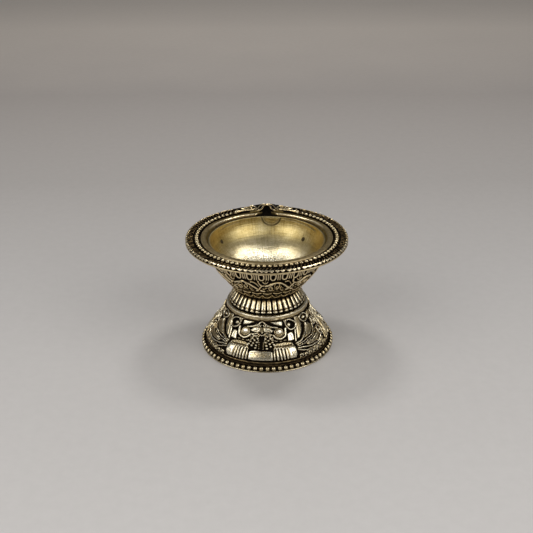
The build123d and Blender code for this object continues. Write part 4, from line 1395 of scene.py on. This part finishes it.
def polished(name):
    """Turned yellow brass: fine rings round the axis, faint vertical streaks, pits."""
    nodes = Nodes(name)
    coords = nodes.coords()
    x, y, z = nodes.separate(coords)
    angle = nodes.math("ARCTAN2", y, x)
    radius = nodes.math("SQRT", nodes.add(nodes.scale(x, x), nodes.scale(y, y)))

    def axial_noise(round_scale, z_scale, radius_scale):
        vector = nodes.new(
            "ShaderNodeCombineXYZ",
            X=nodes.scale(nodes.math("SINE", angle), round_scale),
            Y=nodes.scale(nodes.math("COSINE", angle), round_scale),
            Z=nodes.plus(nodes.scale(z, z_scale), radius, radius_scale)).outputs[0]
        return nodes.noise(vector, scale=1.0, detail=4, roughness=.65)

    rings = axial_noise(round_scale=2.2, z_scale=2300, radius_scale=700)
    streaks = axial_noise(round_scale=46, z_scale=90, radius_scale=30)
    blotches = nodes.noise(coords, scale=150, detail=4, roughness=.6)
    grit = nodes.noise(coords, scale=3600, detail=3)
    pits = nodes.remap(nodes.noise(coords, scale=1700, detail=2), source=(.69, .76))
    fine = nodes.remap(nodes.attribute("fine"), source=(-.05, .03))

    tone = nodes.plus(nodes.scale(blotches, factor=.4), streaks, weight=.34)
    tone = nodes.vary(tone, grit, amount=.46)
    tone = nodes.vary(tone, rings, amount=.24)
    tone_offset = .16
    tone = nodes.add(tone, tone_offset)
    color = nodes.ramp(tone, [(.33, (.22, .15, .048)), (.46, (.39, .29, .108)),
                              (.57, (.53, .42, .185)), (.7, (.72, .62, .36))])
    dirt = nodes.math("MAXIMUM", nodes.attribute("deep"), nodes.scale(pits, factor=.75))
    # dirt in fine hollows, at present weighted to nothing
    hollows = nodes.scale(nodes.invert(fine), factor=0.0)
    dirt = nodes.math("MAXIMUM", dirt, hollows)
    # painted highlight: the bottom of the cup is painted paler, standing for the lamps'
    # reflections there; source is in metres
    bottom_highlight = nodes.invert(nodes.remap(z, source=(.0325, .0385)))
    highlight_tone = nodes.ramp(tone, [(.36, (.44, .37, .2)), (.5, (.7, .63, .44)), (.64, (.9, .86, .72))])
    color = nodes.mix(nodes.scale(bottom_highlight, factor=.8), color, highlight_tone)
    color = nodes.mix(nodes.scale(dirt, factor=.94), color, (.03, .02, .01))
    least_roughness = .14
    roughness = nodes.plus(least_roughness, rings, weight=.14)
    roughness = nodes.plus(roughness, streaks, weight=.12)
    roughness = nodes.plus(roughness, nodes.invert(bottom_highlight), weight=.07)
    roughness = nodes.plus(roughness, dirt, weight=.25)
    normal = nodes.bump(rings, strength=.42, distance=.0001)
    normal = nodes.bump(streaks, strength=.5, distance=.00022, normal=normal)
    normal = nodes.bump(grit, strength=.3, distance=.00006, normal=normal)
    clean = nodes.invert(dirt)
    least_metallic = .06
    return nodes.finish(color, nodes.plus(least_metallic, clean, weight=.94), roughness,
                        normal, nodes.scale(clean, factor=.5))


def plain_brass(name, dark=False):
    """Unfinished brass of the small parts: tarnish in patches and worn edges."""
    nodes = Nodes(name)
    coords = nodes.coords()
    patches = nodes.noise(coords, scale=420, detail=5)
    grit = nodes.noise(coords, scale=2600, detail=3)
    pointiness = nodes.new("ShaderNodeNewGeometry").outputs["Pointiness"]
    tone = nodes.plus(nodes.scale(patches, factor=.6), grit, weight=.25)
    tone = nodes.plus(tone, nodes.remap(pointiness, source=(.47, .56)), weight=.25, clamp=True)
    if dark:
        stops = [(.3, (.008, .006, .004)), (.6, (.03, .02, .01)), (.9, (.11, .078, .036))]
        rough_range, metallic = (.72, .5), .2
    else:
        stops = [(.28, (.13, .085, .04)), (.5, (.36, .26, .12)), (.75, (.6, .47, .25)),
                 (.95, (.76, .65, .42))]
        rough_range, metallic = (.48, .26), 1.0
    roughness = nodes.remap(tone, source=(.3, .8), target=rough_range)
    normal = nodes.bump(grit, strength=.25, distance=.00005)
    normal = nodes.bump(patches, strength=.2, distance=.0001, normal=normal)
    return nodes.finish(nodes.ramp(tone, stops), metallic, roughness, normal)


def floor_material():
    """Matt grey with painted light falloff: lighter in front, darkest behind the lamp and lighter
    again far back, with a fine grain.
    """
    nodes = Nodes("studio_floor")
    coords = nodes.coords()
    depth = nodes.remap(nodes.separate(coords)[1], source=(-.16, .6))
    grain = nodes.noise(coords, scale=240, detail=5, roughness=.6)
    depth = nodes.vary(depth, nodes.noise(coords, scale=9, detail=2), amount=.06)
    # painted light falloff across the floor
    color = nodes.ramp(depth, [
        (0, (.61, .59, .575)), (.14, (.555, .535, .52)), (.3, (.505, .485, .47)),
        (.45, (.445, .42, .4)), (.7, (.475, .435, .405)), (1, (.86, .775, .69))])
    specks = nodes.ramp(grain, [(.3, (.96, .96, .96)), (.7, (1, 1, 1))])
    color = nodes.mix(1.0, color, specks, blend_type="MULTIPLY")
    return nodes.finish(color, metallic=0.0, roughness=.75,
                        normal=nodes.bump(grain, strength=.12, distance=.0004))


# ------------------------------------------------------------------ assembly
FOOT_BEADS = 68
RIM_BEADS = 84            # on a full ring; those across the spout are left out
SPOUT_GAP = 27.4          # degrees either side of the back
detail_share = 1.0

base = make_base(int(1200 * detail_share))
collar = make_collar(int(800 * detail_share))
bowl = make_bowl(int(1344 * detail_share))
foot_beads = make_beads("foot_beaded_wire", ring_radius=26.15, ring_z=1.4, bead_radius=.9,
                        places=[2 * pi * i / FOOT_BEADS for i in range(FOOT_BEADS)],
                        seed=81, wear_and_highlight_tilt=52, wear_and_highlight_range=(-.15, .62))
turns = [(i + .5) * 360 / RIM_BEADS - 180 for i in range(RIM_BEADS)]
turns = [turn for turn in turns if abs(turn) > SPOUT_GAP]
wire_gap = min(abs(turn) for turn in turns)
rim_beads = make_beads("rim_beaded_wire", ring_radius=27.57, ring_z=46.0, bead_radius=.92,
                       places=[radians(180 + turn) for turn in turns],
                       seed=82, wear_and_highlight_tilt=0, wear_and_highlight_range=(.26, .64),
                       arc=(radians(180 + wire_gap), radians(540 - wire_gap)))
cup = make_cup(int(900 * detail_share))
rest = make_rest()

base_brass = antique("antique_brass_base", level=.105)
collar_brass = antique("antique_brass_collar", level=-.11)
bowl_brass = antique("antique_brass_bowl", plain=True, gold=1.0)
bead_brass = antique("antique_brass_beads", beads=True)
cup_brass = polished("polished_brass_cup")
rest_brass = polished("polished_brass_rest")
for ob, material, node, body, slot in (
        (base, base_brass, "base", "pedestal", "antique_brass"),
        (collar, collar_brass, "neck_collar", "pedestal", "antique_brass"),
        (foot_beads, bead_brass, "foot_beads", "pedestal", "antique_brass"),
        (bowl, bowl_brass, "bowl", "bowl", "antique_brass"),
        (rim_beads, bead_brass, "rim_beads", "bowl", "antique_brass"),
        (cup, cup_brass, "oil_cup", "bowl", "polished_brass"),
        (rest, rest_brass, "wick_rest", "bowl", "polished_brass")):
    ob.data.materials.append(material)
    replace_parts(ob, node) or ob
    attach(ob, body)
small_brass = plain_brass("plain_brass_parts")
pin_brass = plain_brass("plain_brass_pin_ends", dark=True)
for node, material in (("bowl_washer", small_brass), ("cup_pins", pin_brass),
                       ("bowl_stud", small_brass)):
    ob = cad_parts[node]
    ob.data.materials.clear()
    ob.data.materials.append(material)

# ------------------------------------------------------------------ floor and light (metres)
FLOOR_Z = -.00015         # just under the foot
LIGHT_AIM = Vector((0, 0, .03))

floor_with_painted_falloff = floor_material()
floor_mesh = bpy.data.meshes.new("studio_floor")
floor_mesh.from_pydata([(-3, -2, FLOOR_Z), (3, -2, FLOOR_Z), (3, 4, FLOOR_Z), (-3, 4, FLOOR_Z)],
                       [], [(0, 1, 2, 3)])
floor = add_object("studio_floor", floor_mesh)
floor.data.materials.append(floor_with_painted_falloff)


def softbox(name, location, size, power, color):
    light = bpy.data.lights.new(name, "AREA")
    light.shape = "RECTANGLE"
    light.size, light.size_y = size
    light.energy = power
    light.color = color
    ob = add_object(name, light)
    ob.location = location
    ob.rotation_euler = (LIGHT_AIM - Vector(location)).to_track_quat("-Z", "Y").to_euler()


for side, label in ((-1, "left"), (1, "right")):
    softbox("softbox_" + label, location=(.405 * side, -.33, .35), size=(.52, .42),
            power=1.78, color=(1, .985, .96))
    softbox("softbox_back_" + label, location=(.225 * side, .21, .585), size=(.115, .155),
            power=.86, color=(1, .985, .97))
world = bpy.data.worlds.new("studio_world")
bpy.context.scene.world = world
world.use_nodes = True
background = world.node_tree.nodes["Background"]
background.inputs["Color"].default_value = (.9, .92, .95, 1)
background.inputs["Strength"].default_value = .15

# ------------------------------------------------------------------ camera (metres)
CAMERA_AIM = Vector((0, 0, .02))
CAMERA_ROLL = radians(-.32)

camera_data = bpy.data.cameras.new("photo_camera")
camera = add_object("photo_camera", camera_data)
camera.location = (0, -.3562, .202)
look = (CAMERA_AIM - camera.location).to_track_quat("-Z", "Y")
camera.rotation_mode = "QUATERNION"
camera.rotation_quaternion = look @ Quaternion((0, 0, 1), CAMERA_ROLL)
camera_data.sensor_width = 36
camera_data.lens = 66.8
camera_data.shift_x = -.0011
camera_data.shift_y = .055
camera_data.clip_start = .01
camera_data.clip_end = 20
scene = bpy.context.scene
scene.camera = camera
scene.view_settings.view_transform = "Standard"
scene.view_settings.look = "None"
scene.view_settings.exposure = 0
scene.view_settings.gamma = 1
